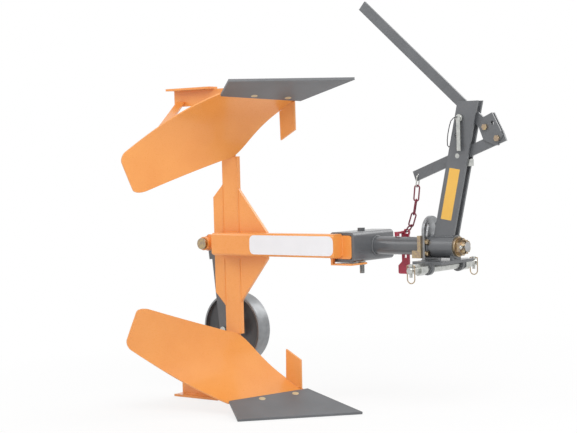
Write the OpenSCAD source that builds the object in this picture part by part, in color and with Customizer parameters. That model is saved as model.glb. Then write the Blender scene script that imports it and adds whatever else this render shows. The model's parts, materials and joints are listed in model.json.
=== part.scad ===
// Reversible mounted plough: a three-point headstock carries a turning spindle,
// and the spindle carries a beam with two mirrored plough bodies and a depth wheel.
// +X is forwards, +Z is up, and the origin is the middle of the lower link pins.

/* [Hitch] */
// Height of the turning axis above the lower link pins
axis_h = 66; // [62:1:74]
// Length of the lower cross bar between the hexagon collars
hitch_bar_len = 236; // [226:2:246]
// Diameter of the lower cross bar
hitch_bar_d = 28; // [25:1:30]
// Diameter of the lower link pins
link_pin_d = 22; // [19:1:22]
// Free length of each lower link pin
link_pin_len = 48; // [44:1:60]
// Width across flats of the hexagon collar of each lower pin
pin_collar_af = 34; // [32:1:38]
// Length of the hexagon collar of each lower pin
pin_collar_len = 38; // [30:1:42]
// Length of the base plate along the plough
base_len = 112; // [100:2:120]
// Width of the base plate across the plough
base_w = 198; // [186:2:208]
// Thickness of the base plate
base_t = 10; // [8:1:12]

/* [Mast] */
// Height of the mast top above the turning axis
mast_top = 472; // [450:2:500]
// Width of each mast bar
mast_w = 74; // [70:1:80]
// Thickness of each mast bar
mast_t = 8; // [6:1:10]
// Clear gap between the two mast bars
mast_gap = 20; // [18:1:24]
// Forward lean of the mast in degrees
mast_lean = 13; // [12:0.2:14]
// Height of the top link pin above the turning axis
top_pin_z = 418; // [414:1:420]
// Height of the spare top link hole above the turning axis
spare_hole_z = 363; // [355:1:372]
// Diameter of the top link holes
top_hole_d = 20; // [19.5:0.5:22]
// Diameter of the top link pin
top_pin_d = 19; // [18:0.5:19]

/* [Headstock] */
// Outside diameter of the headstock sleeve
sleeve_d = 76; // [72:1:80]
// Length of the headstock sleeve
sleeve_len = 96; // [90:1:102]
// Diameter of the spindle shaft
shaft_d = 40; // [36:1:42]
// Wall of the sleeve bushes
bush_t = 5; // [4:1:6]
// Thickness of the slotted headstock plate
head_plate_t = 10; // [8:1:12]
// Half width of the headstock plate and radius of its round top
head_plate_r = 50; // [48:1:54]
// Height of the headstock plate above the turning axis
head_plate_top = 101; // [96:1:110]
// Width of the arc slots in the headstock plate
arc_slot_w = 11; // [11:0.5:12]
// Thickness of the lock plate behind the headstock plate
lock_plate_t = 13; // [10:1:15]
// Height of the lock plate
lock_plate_h = 74; // [70:1:80]
// Diameter of the stop bolts
stop_bolt_d = 10; // [8:1:10]

/* [Turning tube] */
// Outside diameter of the round turning tube
tube_d = 60.3; // [58:0.1:62]
// Wall of the round turning tube
tube_t = 8; // [6:0.5:9]
// Length of the round turning tube
tube_len = 199; // [194:1:204]
// Outside size of the square cross socket
socket_w = 100; // [96:1:104]
// Wall of the square cross socket
socket_t = 10; // [8:1:10]
// Length of the cross socket on the side of the beam
socket_near = 134; // [125:1:140]
// Length of the cross socket on the other side
socket_far = 100; // [90:1:110]
// Diameter of the clamp bolt of the cross socket
clamp_bolt_d = 16; // [14:1:20]

/* [Beam and leg] */
// Height of the beam tube
beam_h = 80; // [76:1:84]
// Width of the beam tube
beam_w = 50; // [46:1:54]
// Height of the beam middle above the turning axis
beam_rise = 6; // [2:1:8]
// Sideways travel of the cross bar in its socket
offset_travel = 80; // [60:2:90]
// Distance from the hitch to the front end of the beam
beam_front = 310; // [306:1:316]
// Distance from the hitch to the rear end of the beam
beam_rear = 847; // [842:1:860]
// Width of the vertical leg bar
leg_w = 71; // [64:1:76]
// Thickness of the vertical leg bar
leg_t = 15; // [12:1:18]
// Thickness of the plates that stiffen the leg
gusset_t = 12; // [10:1:14]
// Distance of the leg bar front edge behind the hitch
leg_front = 760; // [758:1:770]

/* [Plough bodies] */
// Distance from the turning axis to the sole of each body
body_h = 568; // [560:1:580]
// Working width of one share
share_cut = 325; // [310:1:335]
// Angle of the cutting edge from the direction of travel
share_angle = 49.5; // [47:0.5:52]
// Rise angle of the share plate
share_rise = 18.6; // [17.6:0.2:19.6]
// Thickness of the share plate
share_t = 9; // [8:1:11]
// Thickness of the curved mouldboard
mould_t = 6; // [5:1:8]
// Thickness of the frog plates
frog_t = 12; // [10:1:14]
// Height of the landside bar
landside_h = 58; // [50:1:64]
// Thickness of the landside bar
landside_t = 10; // [8:1:12]
// Length of the sole plate at the heel
sole_len = 210; // [180:2:230]

/* [Depth wheel] */
// Outside diameter of the depth wheel
wheel_d = 260; // [240:2:268]
// Width of the depth wheel tread
wheel_w = 65; // [58:1:68]
// Distance from the arm pivot to the wheel axle
wheel_arm_len = 317; // [300:1:325]
// Forward lean of the wheel arm in degrees
wheel_arm_lean = 6.2; // [5:0.2:8]
// Width of the wheel arm bar
wheel_arm_w = 40; // [34:1:46]
// Thickness of the wheel arm bar
wheel_arm_t = 15; // [12:1:18]

/* [Hand lever and latch] */
// Width of the lever bars
lever_w = 35; // [32:1:38]
// Thickness of the lever bars
lever_t = 8; // [6:1:10]
// Thickness of the lever bracket plates
bracket_t = 6; // [5:1:6]
// Thickness of the latch plate
latch_t = 8; // [7:1:9]
// Wire diameter of the chain
chain_wire = 5; // [4:0.5:5.5]
// Outside width of a chain link
chain_w = 21; // [20:0.5:23]

/* [Hidden] */

// Clearances and small steps
gap = 0.3;
run_gap = 0.06;
eps = 0.01;
fine = 64;
smooth = 32;

// Colours
orange = "#ec9c54";
dark_grey = "#66676a";
share_grey = "#808080";
zinc = "#c8c8c4";
gold_zinc = "#c2a96e";
chain_red = "#8b2a45";
latch_red = "#b5394d";

// Places worked out from the sizes above
head_rear_x = -50;
head_front_x = head_rear_x + head_plate_t;
sleeve_end_x = head_front_x + sleeve_len;
sleeve_r = sleeve_d / 2;
shaft_r = shaft_d / 2;
tube_r = tube_d / 2;
lock_rear_x = head_rear_x - lock_plate_t;
tube_front_x = lock_rear_x - 1;
tube_rear_x = tube_front_x - tube_len;
socket_x = tube_rear_x - socket_w / 2;
base_top = -44;
base_z = base_top - base_t;
mast_in = mast_gap / 2;
mast_out = mast_in + mast_t;
mast_slope = tan(mast_lean);
mast_mid_x = 6.7;

// Middle line of the mast at a height above the turning axis
function mast_x(z) = mast_mid_x + z * mast_slope;

// Move a piece from the turning axis to its height above the hitch
module on_axis() translate([0, 0, axis_h]) children();

// Cylinder along X from x0 to x1
module rod_x(x0, x1, r, n = fine) translate([x0, 0, 0]) rotate([0, 90, 0])
  cylinder(r = r, h = x1 - x0, $fn = n);

// Cylinder along Y from y0 to y1
module rod_y(y0, y1, r, n = fine) translate([0, y0, 0]) rotate([-90, 0, 0])
  cylinder(r = r, h = y1 - y0, $fn = n);

// Flat outline in X and Z made into a plate between y0 and y1
module plate_y(y0, y1) translate([0, y1, 0]) rotate([90, 0, 0])
  linear_extrude(y1 - y0) children();

// Flat outline in Y and Z made into a plate between x0 and x1
module plate_x(x0, x1) translate([x0, 0, 0]) rotate([90, 0, 90])
  linear_extrude(x1 - x0) children();

// Box between two corners
module box(a, b) translate(a) cube(b - a);

// Outline of a bar in X and Z between two points
module bar_outline(a, b, w) {
  d = b - a;
  translate(a) rotate(atan2(d[1], d[0])) translate([0, -w / 2]) square([norm(d), w]);
}

/* Headstock */

module mast_plate(side) {
  y0 = side < 0 ? -mast_out : mast_in;
  half = mast_w / 2 / cos(mast_lean);
  difference() {
    plate_y(y0, y0 + mast_t) polygon([
      [mast_x(0) - half, 0], [mast_x(0) + half, 0],
      [mast_x(mast_top) + half, mast_top], [mast_x(mast_top) - half, mast_top]
    ]);
    rod_x(-200, 200, sleeve_r + gap / 2);
    for (z = [top_pin_z, spare_hole_z])
      translate([top_hole_x(z), 0, z]) rod_y(-mast_out - 1, mast_out + 1, top_hole_d / 2);
    translate([pivot_x, 0, pivot_z]) rod_y(-mast_out - 1, mast_out + 1, pivot_pin_r + run_gap);
  }
}

function top_hole_x(z) = mast_x(z) - 16.5;

module mast_plate_near() color(dark_grey) on_axis() mast_plate(-1);
module mast_plate_far() color(dark_grey) on_axis() mast_plate(1);

// Lever pivot and the two spacers that hold the mast bars apart
pivot_x = 73;
pivot_z = 296;
pivot_pin_r = 8;
spacer_r = 9;
low_spacer_z = 120;
// Outline of the block that fills the mast gap below the lever arm
stop_block_pts = [[96, 262], [118, 262], [118, 285], [96, 281.2]];
module mast_spacers() color(zinc) on_axis() {
  translate([pivot_x, 0, pivot_z]) rod_y(-mast_out, mast_out, pivot_pin_r);
  plate_y(-mast_in, mast_in) polygon(stop_block_pts);
  translate([mast_x(low_spacer_z), 0, low_spacer_z]) rod_y(-mast_in, mast_in, spacer_r);
}

module headstock_sleeve() color(dark_grey) on_axis() difference() {
  rod_x(head_front_x, sleeve_end_x, sleeve_r);
  rod_x(head_front_x - 1, sleeve_end_x + 1, shaft_r + bush_t);
  // Pockets for the heads of the lock bolts
  at_lock_bolts() rod_x(head_front_x - 1, head_front_x + 10, lock_washer_r + 0.6);
}

module sleeve_bushes() color("#b08d57") on_axis()
  for (x = [head_front_x, sleeve_end_x - 26]) difference() {
    rod_x(x, x + 26, shaft_r + bush_t);
    rod_x(x - 1, x + 27, shaft_r + run_gap);
  }

// Curved slots in the headstock plate, narrow arcs about a far centre on the other side
slot_r = 160;
slot_mid = slot_r - 38;
slot_mid_z = 5;
slot_low = -30;
slot_high = 77;
module arc_slot() {
  steps = 20;
  low = asin((slot_low - slot_mid_z) / slot_r);
  high = asin((slot_high - slot_mid_z) / slot_r);
  half = arc_slot_w / 2;
  polygon(concat(
    [for (i = [0:steps]) let (a = low + (high - low) * i / steps)
      [slot_mid - (slot_r + half) * cos(a), slot_mid_z + (slot_r + half) * sin(a)]],
    [for (i = [steps:-1:0]) let (a = low + (high - low) * i / steps)
      [slot_mid - (slot_r - half) * cos(a), slot_mid_z + (slot_r - half) * sin(a)]]
  ));
}

module headstock_plate() color("#8c8d90") on_axis() difference() {
  union() {
    plate_x(head_rear_x, head_front_x) translate([-head_plate_r, base_top])
      square([2 * head_plate_r, arc_z - base_top]);
    translate([0, 0, arc_z]) rod_x(head_rear_x, head_front_x, head_plate_r);
  }
  rod_x(head_rear_x - 1, head_front_x + 1, shaft_r + 1);
  for (side = [0, 1]) mirror([0, side, 0]) plate_x(head_rear_x - 1, head_front_x + 1) arc_slot();
}
arc_z = head_plate_top - head_plate_r;

// Base plate with the saddle that carries the front of the sleeve
module base_plate() color(dark_grey) on_axis() difference() {
  union() {
    box([-base_len / 2, -base_w / 2, base_z], [base_len / 2, base_w / 2, base_top]);
    box([sleeve_end_x - 14, -26, base_top], [sleeve_end_x - 4, 26, 0]);
  }
  rod_x(sleeve_end_x - 20, sleeve_end_x + 5, sleeve_r + gap / 2);
  // Groove that seats the cross bar
  translate([0, 0, -axis_h]) rod_y(-base_w, base_w, hitch_bar_d / 2 + gap);
}

// Ears under the base plate that carry the cross bar
ear_t = 12;
ear_r = 22;
ear_y = base_w / 2 - ear_t;
module hitch_ears() color(dark_grey) difference() {
  for (side = [0, 1]) mirror([0, side, 0]) {
    rod_y(-ear_y - ear_t, -ear_y, ear_r);
    box([-ear_r, -ear_y - ear_t, 0], [ear_r, -ear_y, axis_h + base_z]);
  }
  rod_y(-base_w, base_w, hitch_bar_d / 2 + gap);
  box([-ear_r - 1, -base_w, axis_h + base_z], [ear_r + 1, base_w, axis_h]);
}

module hitch_bar() color(zinc) difference() {
  rod_y(-hitch_bar_len / 2, hitch_bar_len / 2, hitch_bar_d / 2);
  for (side = [0, 1]) mirror([0, side, 0])
    rod_y(-hitch_bar_len / 2 - 1, -hitch_bar_len / 2 + 12, 8 + gap);
}

// Lower link pins with hexagon collars, screwed into the ends of the cross bar
collar_y = hitch_bar_len / 2;
pin_y0 = collar_y + pin_collar_len;
pin_y1 = pin_y0 + link_pin_len;
lynch_y = pin_y1 - 11;
lynch_r = 5;
module lower_link_pins() color(zinc)
  for (side = [0, 1]) mirror([0, side, 0]) difference() {
    union() {
      translate([0, -collar_y, 0]) rotate([90, 0, 0]) rotate(30)
        cylinder(d = pin_collar_af / cos(30), h = pin_collar_len, $fn = 6);
      rod_y(-pin_y1 + 2, -pin_y0 + 1, link_pin_d / 2);
      translate([0, -pin_y1 + 2, 0]) rotate([90, 0, 0])
        cylinder(r1 = link_pin_d / 2, r2 = link_pin_d / 2 - 2, h = 2, $fn = fine);
      rod_y(-collar_y, -collar_y + 11, 8);
    }
    translate([0, -lynch_y, -20]) cylinder(r = lynch_r + gap / 2, h = 40, $fn = fine);
  }

// Lynch pins through the lower link pins, and their spring rings
lynch_top = link_pin_d / 2 + 9;
ring_wire = 1.8;
module lynch_pin_at(side) mirror([0, side, 0]) translate([0, -lynch_y, 0]) difference() {
  union() {
    translate([0, 0, -22]) cylinder(r = lynch_r, h = 22 + lynch_top - 8, $fn = smooth);
    translate([0, 0, lynch_top - 8]) cylinder(r = lynch_r + 3, h = 8, $fn = smooth);
  }
  translate([0, 0, lynch_top - 4]) rod_x(-20, 20, ring_wire + run_gap, smooth);
}
module lynch_pins() color(zinc) for (side = [0, 1]) lynch_pin_at(side);

ring_half = 14;
ring_drop = 43;
module lynch_ring(side) mirror([0, side, 0]) translate([0, -lynch_y, lynch_top - 4]) {
  rod_x(-ring_half, ring_half, ring_wire, smooth);
  for (s = [-1, 1]) translate([s * ring_half, 0, 0]) {
    sphere(r = ring_wire, $fn = 16);
    rotate([0, 180, 0]) cylinder(r = ring_wire, h = ring_drop, $fn = smooth);
  }
  translate([0, 0, -ring_drop]) rotate([90, 0, 0]) rotate([0, 0, 180]) rotate_extrude(angle = 180,
      $fn = fine)
    translate([ring_half, 0]) circle(r = ring_wire, $fn = 16);
}
module lynch_ring_near() color(gold_zinc) lynch_ring(0);
module lynch_ring_far() color(gold_zinc) lynch_ring(1);

// Top link pin with a round head and a flat hanging handle
clip_y = mast_out + 13;
clip_ring_r = 10;
clip_wire = 1.6;
clip_ring_z = 22;
head_t = 9;
handle_len = 106;
handle_w = 14;
handle_t = 4;
pin_far_y = mast_out + 22;
module top_link_pin() color(zinc) on_axis() translate([top_hole_x(top_pin_z), 0, top_pin_z]) difference() {
  union() {
    rod_y(-mast_out - 1, pin_far_y, top_pin_d / 2);
    rod_y(-mast_out - head_t, -mast_out - gap, 12.5);
    box([-handle_w / 2, -mast_out - head_t - handle_t, -handle_len], [handle_w / 2, -mast_out - head_t, 8]);
  }
  translate([0, clip_y, -20]) cylinder(r = 3.2, h = 40, $fn = smooth);
  translate([-9, -mast_out - head_t + 3, -20]) cylinder(r = 1.6, h = 40, $fn = smooth);
}

module top_link_clip() color(zinc) on_axis() translate([top_hole_x(top_pin_z), clip_y, top_pin_z]) {
  translate([0, 0, -22]) cylinder(r = 3, h = 44, $fn = smooth);
  translate([0, 0, clip_ring_z]) rotate([90, 0, 90]) rotate_extrude(angle = 360, $fn = fine)
    translate([clip_ring_r, 0]) circle(r = clip_wire, $fn = 16);
}

// Cord from the pin handle round the rear of the mast to the clip
tether_r = 1.5;
tether_end = clip_ring_r / sqrt(2);
tether_pts = [
  [-4, -mast_out - head_t - handle_t - tether_r - 0.1, 4], [-13, -36, 1], [-22, -38, -8],
      [-30, -36, -26], [-38, -32, -48], [-45, -26, -70],
  [-51, -16, -86], [-54, -4, -92], [-54, 8, -88], [-52, 20, -74], [-46, 30, -54], [-38, 35, -34],
  [-28, 38, -14], [-17, 38, 4], [-clip_wire - tether_r - 0.1, clip_y + tether_end, clip_ring_z - tether_end]
];
tether_sides = 8;
function unit(v) = v / norm(v);
function ring_frame(pts, i) = let (
    n = len(pts),
    t = unit(pts[min(i + 1, n - 1)] - pts[max(i - 1, 0)]),
    a = unit(cross(t, [0.3, 0.2, 1])))
  [a, cross(t, a)];
module sweep_tube(pts, r, sides) {
  n = len(pts);
  ring = [for (i = [0:n - 1]) let (f = ring_frame(pts, i)) for (k = [0:sides - 1])
    pts[i] + r * (cos(360 * k / sides) * f[0] + sin(360 * k / sides) * f[1])];
  sidesfaces = [for (i = [0:n - 2]) for (k = [0:sides - 1]) let (
      a = i * sides + k, b = i * sides + (k + 1) % sides, c = a + sides, d = b + sides)
    each [[a, c, b], [b, c, d]]];
  polyhedron(ring, concat(sidesfaces,
    [for (k = [1:sides - 2]) [0, k, k + 1]],
    [for (k = [1:sides - 2]) let (e = (n - 1) * sides) [e, e + k + 1, e + k]]));
}
module tether() color("#1c1c1e") on_axis() translate([top_hole_x(top_pin_z), 0, top_pin_z])
  sweep_tube(tether_pts, tether_r, tether_sides);

// Lock plate behind the headstock plate with a stop block on each side of the spindle
lock_w = 116;
lock_bolt_y = [36, 37.5];
lock_bolt_z = [-23, 15];
lock_bolt_r = stop_bolt_d / 2;
lock_washer_r = 10;
block_x0 = lock_rear_x - 21;
block_y0 = 33;
block_z0 = -37;
block_z1 = -12;
module lock_plate() color(gold_zinc) on_axis() difference() {
  union() {
    plate_x(lock_rear_x, head_rear_x) translate([-lock_w / 2, -lock_plate_h / 2]) square([lock_w,
        lock_plate_h]);
    box([block_x0, -lock_w / 2, block_z0], [lock_rear_x, -block_y0, block_z1]);
    box([block_x0, block_y0, block_z0], [lock_rear_x, carrier_y0, block_z1]);
  }
  rod_x(lock_rear_x - 1, head_rear_x + 1, shaft_r + 1);
  at_lock_bolts() rod_x(lock_rear_x + 2, head_rear_x + 1, lock_bolt_r + run_gap);
}
module at_lock_bolts() for (side = [0, 1]) mirror([0, side, 0]) for (i = [0, 1])
  translate([0, -lock_bolt_y[i], lock_bolt_z[i]]) children();

module lock_bolts() color(gold_zinc) on_axis() at_lock_bolts() {
  rod_x(lock_rear_x + 3, head_front_x, lock_bolt_r, smooth);
  rod_x(head_front_x, head_front_x + 2, lock_washer_r, smooth);
  translate([head_front_x + 2, 0, 0]) rotate([0, 90, 0]) cylinder(r = 9.2, h = 7, $fn = 6);
}

/* Latch, chain and hand lever */

latch_x = -171;
latch_y0 = 33;
latch_y1 = latch_y0 + latch_t;
carrier_y0 = latch_y1 + gap;
carrier_t = 12;
latch_down = 8;
latch_up = 24;
guide_bolt_r = 5;
guide_bolt_z = [-16, 14];
module latch_carrier() color(dark_grey) on_axis() difference() {
  box([-200, carrier_y0, -27], [lock_rear_x, carrier_y0 + carrier_t, 25]);
  for (z = guide_bolt_z) translate([latch_x, 0, z])
    rod_y(carrier_y0 - 1, carrier_y0 + carrier_t + 1, guide_bolt_r + run_gap);
}

module latch_bolts() color(gold_zinc) on_axis() for (z = guide_bolt_z) translate([latch_x, 0, z]) {
  rod_y(latch_y0 - gap, carrier_y0 + carrier_t, guide_bolt_r, smooth);
  rod_y(latch_y0 - gap - 2.4, latch_y0 - gap, 7.5, smooth);
}

// Latch plate with a finger over the tube and a tooth that drops into a slot in it
finger_z = tube_r + latch_down + 1;
finger_t = 7;
tooth_gap = 0.8;
tooth_x = [-185, -175];
tooth_y = 7;
latch_eye = [-164, (latch_y0 + latch_y1) / 2, 44];
latch_eye_r = 7;
module latch_plate() color(latch_red) on_axis() difference() {
  union() {
    plate_y(latch_y0, latch_y1) polygon([
      [-185, 46], [-185, -56], [-200, -70], [-200, -94], [-196, -98], [-166, -98], [-161, -93],
      [-157, -60], [-157, 33], [-154, 40], [-154, 49], [-159, 54], [-172, 54], [-177, 46]
    ]);
    box([tooth_x[0], -tooth_y - 1, finger_z], [tooth_x[1], latch_y0 + 1, finger_z + finger_t]);
    box([tooth_x[0], -tooth_y, tube_r + tooth_gap], [tooth_x[1], tooth_y, finger_z + 1]);
  }
  low = guide_bolt_z[0] - latch_up;
  high = guide_bolt_z[1] + latch_down;
  wide = guide_bolt_r + gap;
  for (z = [low, high]) translate([latch_x, 0, z]) rod_y(latch_y0 - 1, latch_y1 + 1, wide);
  box([latch_x - wide, latch_y0 - 1, low], [latch_x + wide, latch_y1 + 1, high]);
  translate([latch_eye[0], 0, latch_eye[2]]) rod_y(latch_y0 - 1, latch_y1 + 1, latch_eye_r);
}

// Hand lever: a long handle and a lower arm joined by two bracket plates
handle_tip = [-301, 813];
joint_a = [174, 386];
joint_b = [218, 349];
arm_eye = [-90, 236];
arm_dir = atan2(joint_b[1] - pivot_z, joint_b[0] - pivot_x);
lever_bolt_r = 6;
module lever_hole(p, y = 20) translate([p[0], 0, p[1]]) rod_y(-y, y, lever_bolt_r + gap / 2);

module lever_handle() color(dark_grey) on_axis() difference() {
  d = (joint_a - handle_tip) / norm(joint_a - handle_tip);
  plate_y(-lever_t / 2, lever_t / 2) bar_outline(handle_tip, joint_a + 15 * d, lever_w);
  lever_hole(joint_a);
}

module lever_arm() color(dark_grey) on_axis() difference() {
  pivot = [pivot_x, pivot_z];
  d = (joint_b - pivot) / norm(joint_b - pivot);
  plate_y(-lever_t / 2, lever_t / 2) bar_outline(arm_eye - 14 * d, joint_b + 24 * d, lever_w);
  lever_hole(joint_b);
  translate([pivot_x, 0, pivot_z]) rod_y(-20, 20, pivot_pin_r + run_gap);
  translate([arm_eye[0], 0, arm_eye[1]]) rod_y(-20, 20, hook_hole_r);
}

module bracket_outline() polygon([[168, 418], [200, 432], [238, 358], [213, 326], [167, 345], [151, 385]]);
module lever_brackets() color(dark_grey) on_axis() for (s = [0, 1]) mirror([0, s, 0]) difference() {
  plate_y(-lever_t / 2 - bracket_t, -lever_t / 2) bracket_outline();
  lever_hole(joint_a);
  lever_hole(joint_b);
  translate([200, 0, 399]) rod_y(-20, 20, 6.5);
}

module lever_bolts() color(gold_zinc) on_axis() for (p = [joint_a, joint_b]) translate([p[0], 0, p[1]]) {
  side = lever_t / 2 + bracket_t;
  rod_y(-side, side + 10, lever_bolt_r, smooth);
  translate([0, -side, 0]) rotate([90, 0, 0]) cylinder(r = 10.5, h = 7, $fn = 6);
  translate([0, side, 0]) rotate([-90, 0, 0]) cylinder(r = 10.5, h = 8, $fn = 6);
}

// Chain from the arm eye to the latch eye, one bearing point after another
hook_hole_r = 5;
link_d = unit(latch_eye - [-143, 28, 66]);
chain_pts = [
  [arm_eye[0], 0, arm_eye[1] - hook_hole_r + 1.5], [-95, 0, 199], [-106, 8, 152], [-122, 18, 106],
  [-143, 28, 66], latch_eye + [0, 0, 0.6] - (chain_wire / 2 + gap) * link_d
];

// Oval link around two bearing points; side is the compass angle of its width
module link_between(a, b, width, wire, side) {
  z = unit(b - a);
  flat = [cos(side), sin(side), 0];
  x = unit(flat - (flat * z) * z);
  y = cross(z, x);
  bend = (width - wire) / 2;
  z0 = bend - wire / 2 - gap;
  z1 = norm(b - a) - z0;
  multmatrix([
    [x[0], y[0], z[0], a[0]], [x[1], y[1], z[1], a[1]], [x[2], y[2], z[2], a[2]], [0, 0, 0, 1]]) {
    for (s = [-1, 1]) translate([s * bend, 0, z0]) cylinder(d = wire, h = z1 - z0, $fn = 16);
    translate([0, 0, z0]) rotate([90, 180, 0]) rotate_extrude(angle = 180, $fn = 24)
      translate([bend, 0]) circle(d = wire, $fn = 16);
    translate([0, 0, z1]) rotate([90, 0, 0]) rotate_extrude(angle = 180, $fn = 24)
      translate([bend, 0]) circle(d = wire, $fn = 16);
  }
}
link_side = [90, 20, 110, 10, 90];
module chain_hook() color(zinc) on_axis() link_between(chain_pts[0], chain_pts[1], 20, 4.5, link_side[0]);
module chain_links() color(chain_red) on_axis()
  for (i = [1:3]) link_between(chain_pts[i], chain_pts[i + 1], chain_w, chain_wire, link_side[i]);
module chain_shackle() color(chain_red) on_axis() link_between(chain_pts[4], chain_pts[5], 26, 5,
    link_side[4]);

/* Turning unit */

module spindle_shaft() color(zinc) on_axis() difference() {
  union() {
    rod_x(tube_front_x - 60, nut_x0, shaft_r);
    rod_x(nut_x0, nut_x0 + hex_len + crown_len + 3, thread_r);
  }
  translate([cotter_x, 0, 0]) rod_y(-30, 30, 3.2, smooth);
}

module spindle_tube() color(dark_grey) on_axis() difference() {
  union() {
    rod_x(tube_rear_x, tube_front_x, tube_r);
    // Lug on the far side that rests on the stop block of the lock plate
    intersection() {
      box([block_x0, tube_r - 6, block_z1 + 0.5], [tube_front_x, block_y0 + 7, 10]);
      rod_x(block_x0, tube_front_x, block_y0 + 7.5);
    }
  }
  rod_x(tube_rear_x - 1, tube_front_x - 62, tube_r - tube_t);
  rod_x(tube_front_x - 63, tube_front_x + 1, shaft_r + run_gap);
  box([tooth_x[0] - 1, -tooth_y - 1, -40], [tooth_x[1] + 1, tooth_y + 1, 40]);
}

socket_round = 14;
module square_tube(w, t, r) difference() {
  rounded_outline(w, r);
  rounded_outline(w - 2 * t, max(r - t, 1));
}
// Square with round corners made only of squares and circles
module rounded_outline(w, r) {
  square([w - 2 * r, w], center = true);
  square([w, w - 2 * r], center = true);
  for (x = [-1, 1], y = [-1, 1]) translate([x * (w / 2 - r), y * (w / 2 - r)]) circle(r = r, $fn = fine);
}

module cross_socket() color(dark_grey) on_axis() difference() {
  translate([socket_x, 0, 0]) plate_y(-socket_near, socket_far) square_tube(socket_w, socket_t,
      socket_round);
  translate([socket_x, clamp_y, -socket_w]) cylinder(d = clamp_bolt_d + 1, h = 2 * socket_w, $fn = fine);
}

clamp_y = -20;
clamp_r = clamp_bolt_d / 2;
module clamp_bolt() color(dark_grey) on_axis() translate([socket_x, clamp_y, 0]) {
  half = socket_w / 2;
  translate([0, 0, -half - 45]) cylinder(r = clamp_r, h = 2 * half + 45, $fn = smooth);
  translate([0, 0, half]) cylinder(r = 13.9, h = 10, $fn = 6);
}
module clamp_nut() color(zinc) on_axis() translate([socket_x, clamp_y, -socket_w / 2]) difference() {
  union() {
    translate([0, 0, -3]) cylinder(r = 15, h = 3, $fn = smooth);
    translate([0, 0, -16]) cylinder(r = 13.9, h = 13, $fn = 6);
  }
  translate([0, 0, -20]) cylinder(r = clamp_r + run_gap, h = 30, $fn = smooth);
}

washer_x = sleeve_end_x + gap;
washer_t = 7.7;
nut_x0 = washer_x + washer_t;
nut_af = 50;
hex_len = 17;
crown_len = 11;
crown_r = 23;
thread_r = 16.5;
cotter_x = nut_x0 + hex_len + crown_len / 2;
module spindle_washer() color(gold_zinc) on_axis() difference() {
  rod_x(washer_x, nut_x0, 33);
  rod_x(washer_x - 1, nut_x0 + 1, shaft_r + run_gap);
}

module castle_nut() color(gold_zinc) on_axis() difference() {
  union() {
    translate([nut_x0, 0, 0]) rotate([0, 90, 0]) cylinder(d = nut_af / cos(30), h = hex_len, $fn = 6);
    rod_x(nut_x0 + hex_len, nut_x0 + hex_len + crown_len, crown_r);
  }
  rod_x(nut_x0 - 1, nut_x0 + 40, thread_r + run_gap);
  for (a = [0, 60, 120]) rotate([a, 0, 0]) box([nut_x0 + hex_len + 2, -40, -3.6], [nut_x0 + 40, 40, 3.6]);
}

module cotter_pin() color(zinc) on_axis() translate([cotter_x, 0, 0]) {
  rod_y(-26, 26, 2.9, smooth);
  translate([0, -30, 0]) rotate([0, 90, 0]) rotate_extrude($fn = smooth) translate([4.5,
      0]) circle(r = 2.2, $fn = 16);
}

/* Beam and leg */

bar_fit = 1;
bar_w = socket_w - 2 * socket_t - bar_fit;
beam_y1 = -socket_near - 2;
beam_y0 = beam_y1 - beam_w;
bar_far = 70;
slot_len = offset_travel;
bar_wall = 8;
module cross_bar() color(orange) on_axis() difference() {
  translate([socket_x, 0, 0]) {
    plate_y(beam_y1, bar_far) square_tube(bar_w, bar_wall, 10);
    // Closes the end beside the beam
    plate_y(beam_y1, beam_y1 + bar_wall) square(bar_w - 1.5 * bar_wall, center = true);
  }
  // The bar moves towards -Y, so its slots run from the clamp bolt towards +Y
  for (y = [clamp_y, clamp_y + slot_len]) translate([socket_x, y, -socket_w])
    cylinder(d = clamp_bolt_d + 1, h = 2 * socket_w, $fn = fine);
  box([socket_x - clamp_bolt_d / 2 - 0.5, clamp_y, -socket_w],
      [socket_x + clamp_bolt_d / 2 + 0.5, clamp_y + slot_len, socket_w]);
}

beam_round = 10;
beam_wall = 6;
module beam_shape(grow, rounding) translate([0, (beam_y0 + beam_y1) / 2, beam_rise]) rotate([90, 0, 90])
  linear_extrude(beam_rear - beam_front - 2 * grow) {
    square([beam_w - 2 * grow - 2 * rounding, beam_h - 2 * grow], center = true);
    square([beam_w - 2 * grow, beam_h - 2 * grow - 2 * rounding], center = true);
    for (x = [-1, 1], y = [-1, 1])
      translate([x * (beam_w / 2 - grow - rounding), y * (beam_h / 2 - grow - rounding)]) circle(r = rounding, $fn = fine);
  }
module beam_tube() color(orange) on_axis() difference() {
  intersection() {
    translate([-beam_rear, 0, 0]) beam_shape(0, beam_round);
    // Rounds the corners of the closed rear end
    plate_y(beam_y0 - 1, beam_y1 + 1) translate([-(beam_rear + beam_front) / 2, beam_rise]) {
      square([beam_rear - beam_front, beam_h - 2 * beam_round], center = true);
      translate([beam_round / 2, 0]) square([beam_rear - beam_front - beam_round, beam_h], center = true);
      for (z = [-1, 1]) translate([-(beam_rear - beam_front) / 2 + beam_round,
          z * (beam_h / 2 - beam_round)])
        circle(r = beam_round, $fn = fine);
    }
  }
  translate([-beam_rear + beam_wall, 0, 0]) beam_shape(beam_wall, beam_round - beam_wall);
}

module guide_plate() color(orange) on_axis() {
  box([socket_x - 36, beam_y1 - 14, -socket_w / 2 - 10], [socket_x + 50, beam_y1 + 76, -socket_w / 2 - 4]);
  box([socket_x - 36, beam_y1 - 14, -socket_w / 2 - 4], [socket_x - 28, beam_y1, beam_rise - beam_h / 2]);
}

leg_y1 = beam_y1 + leg_t;
leg_rear = leg_front + leg_w;
leg_half = 500;
rear_plate_x = -876;
// Height over the sole where the mouldboard's edge crosses the leg
notch_top = 254;
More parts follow.
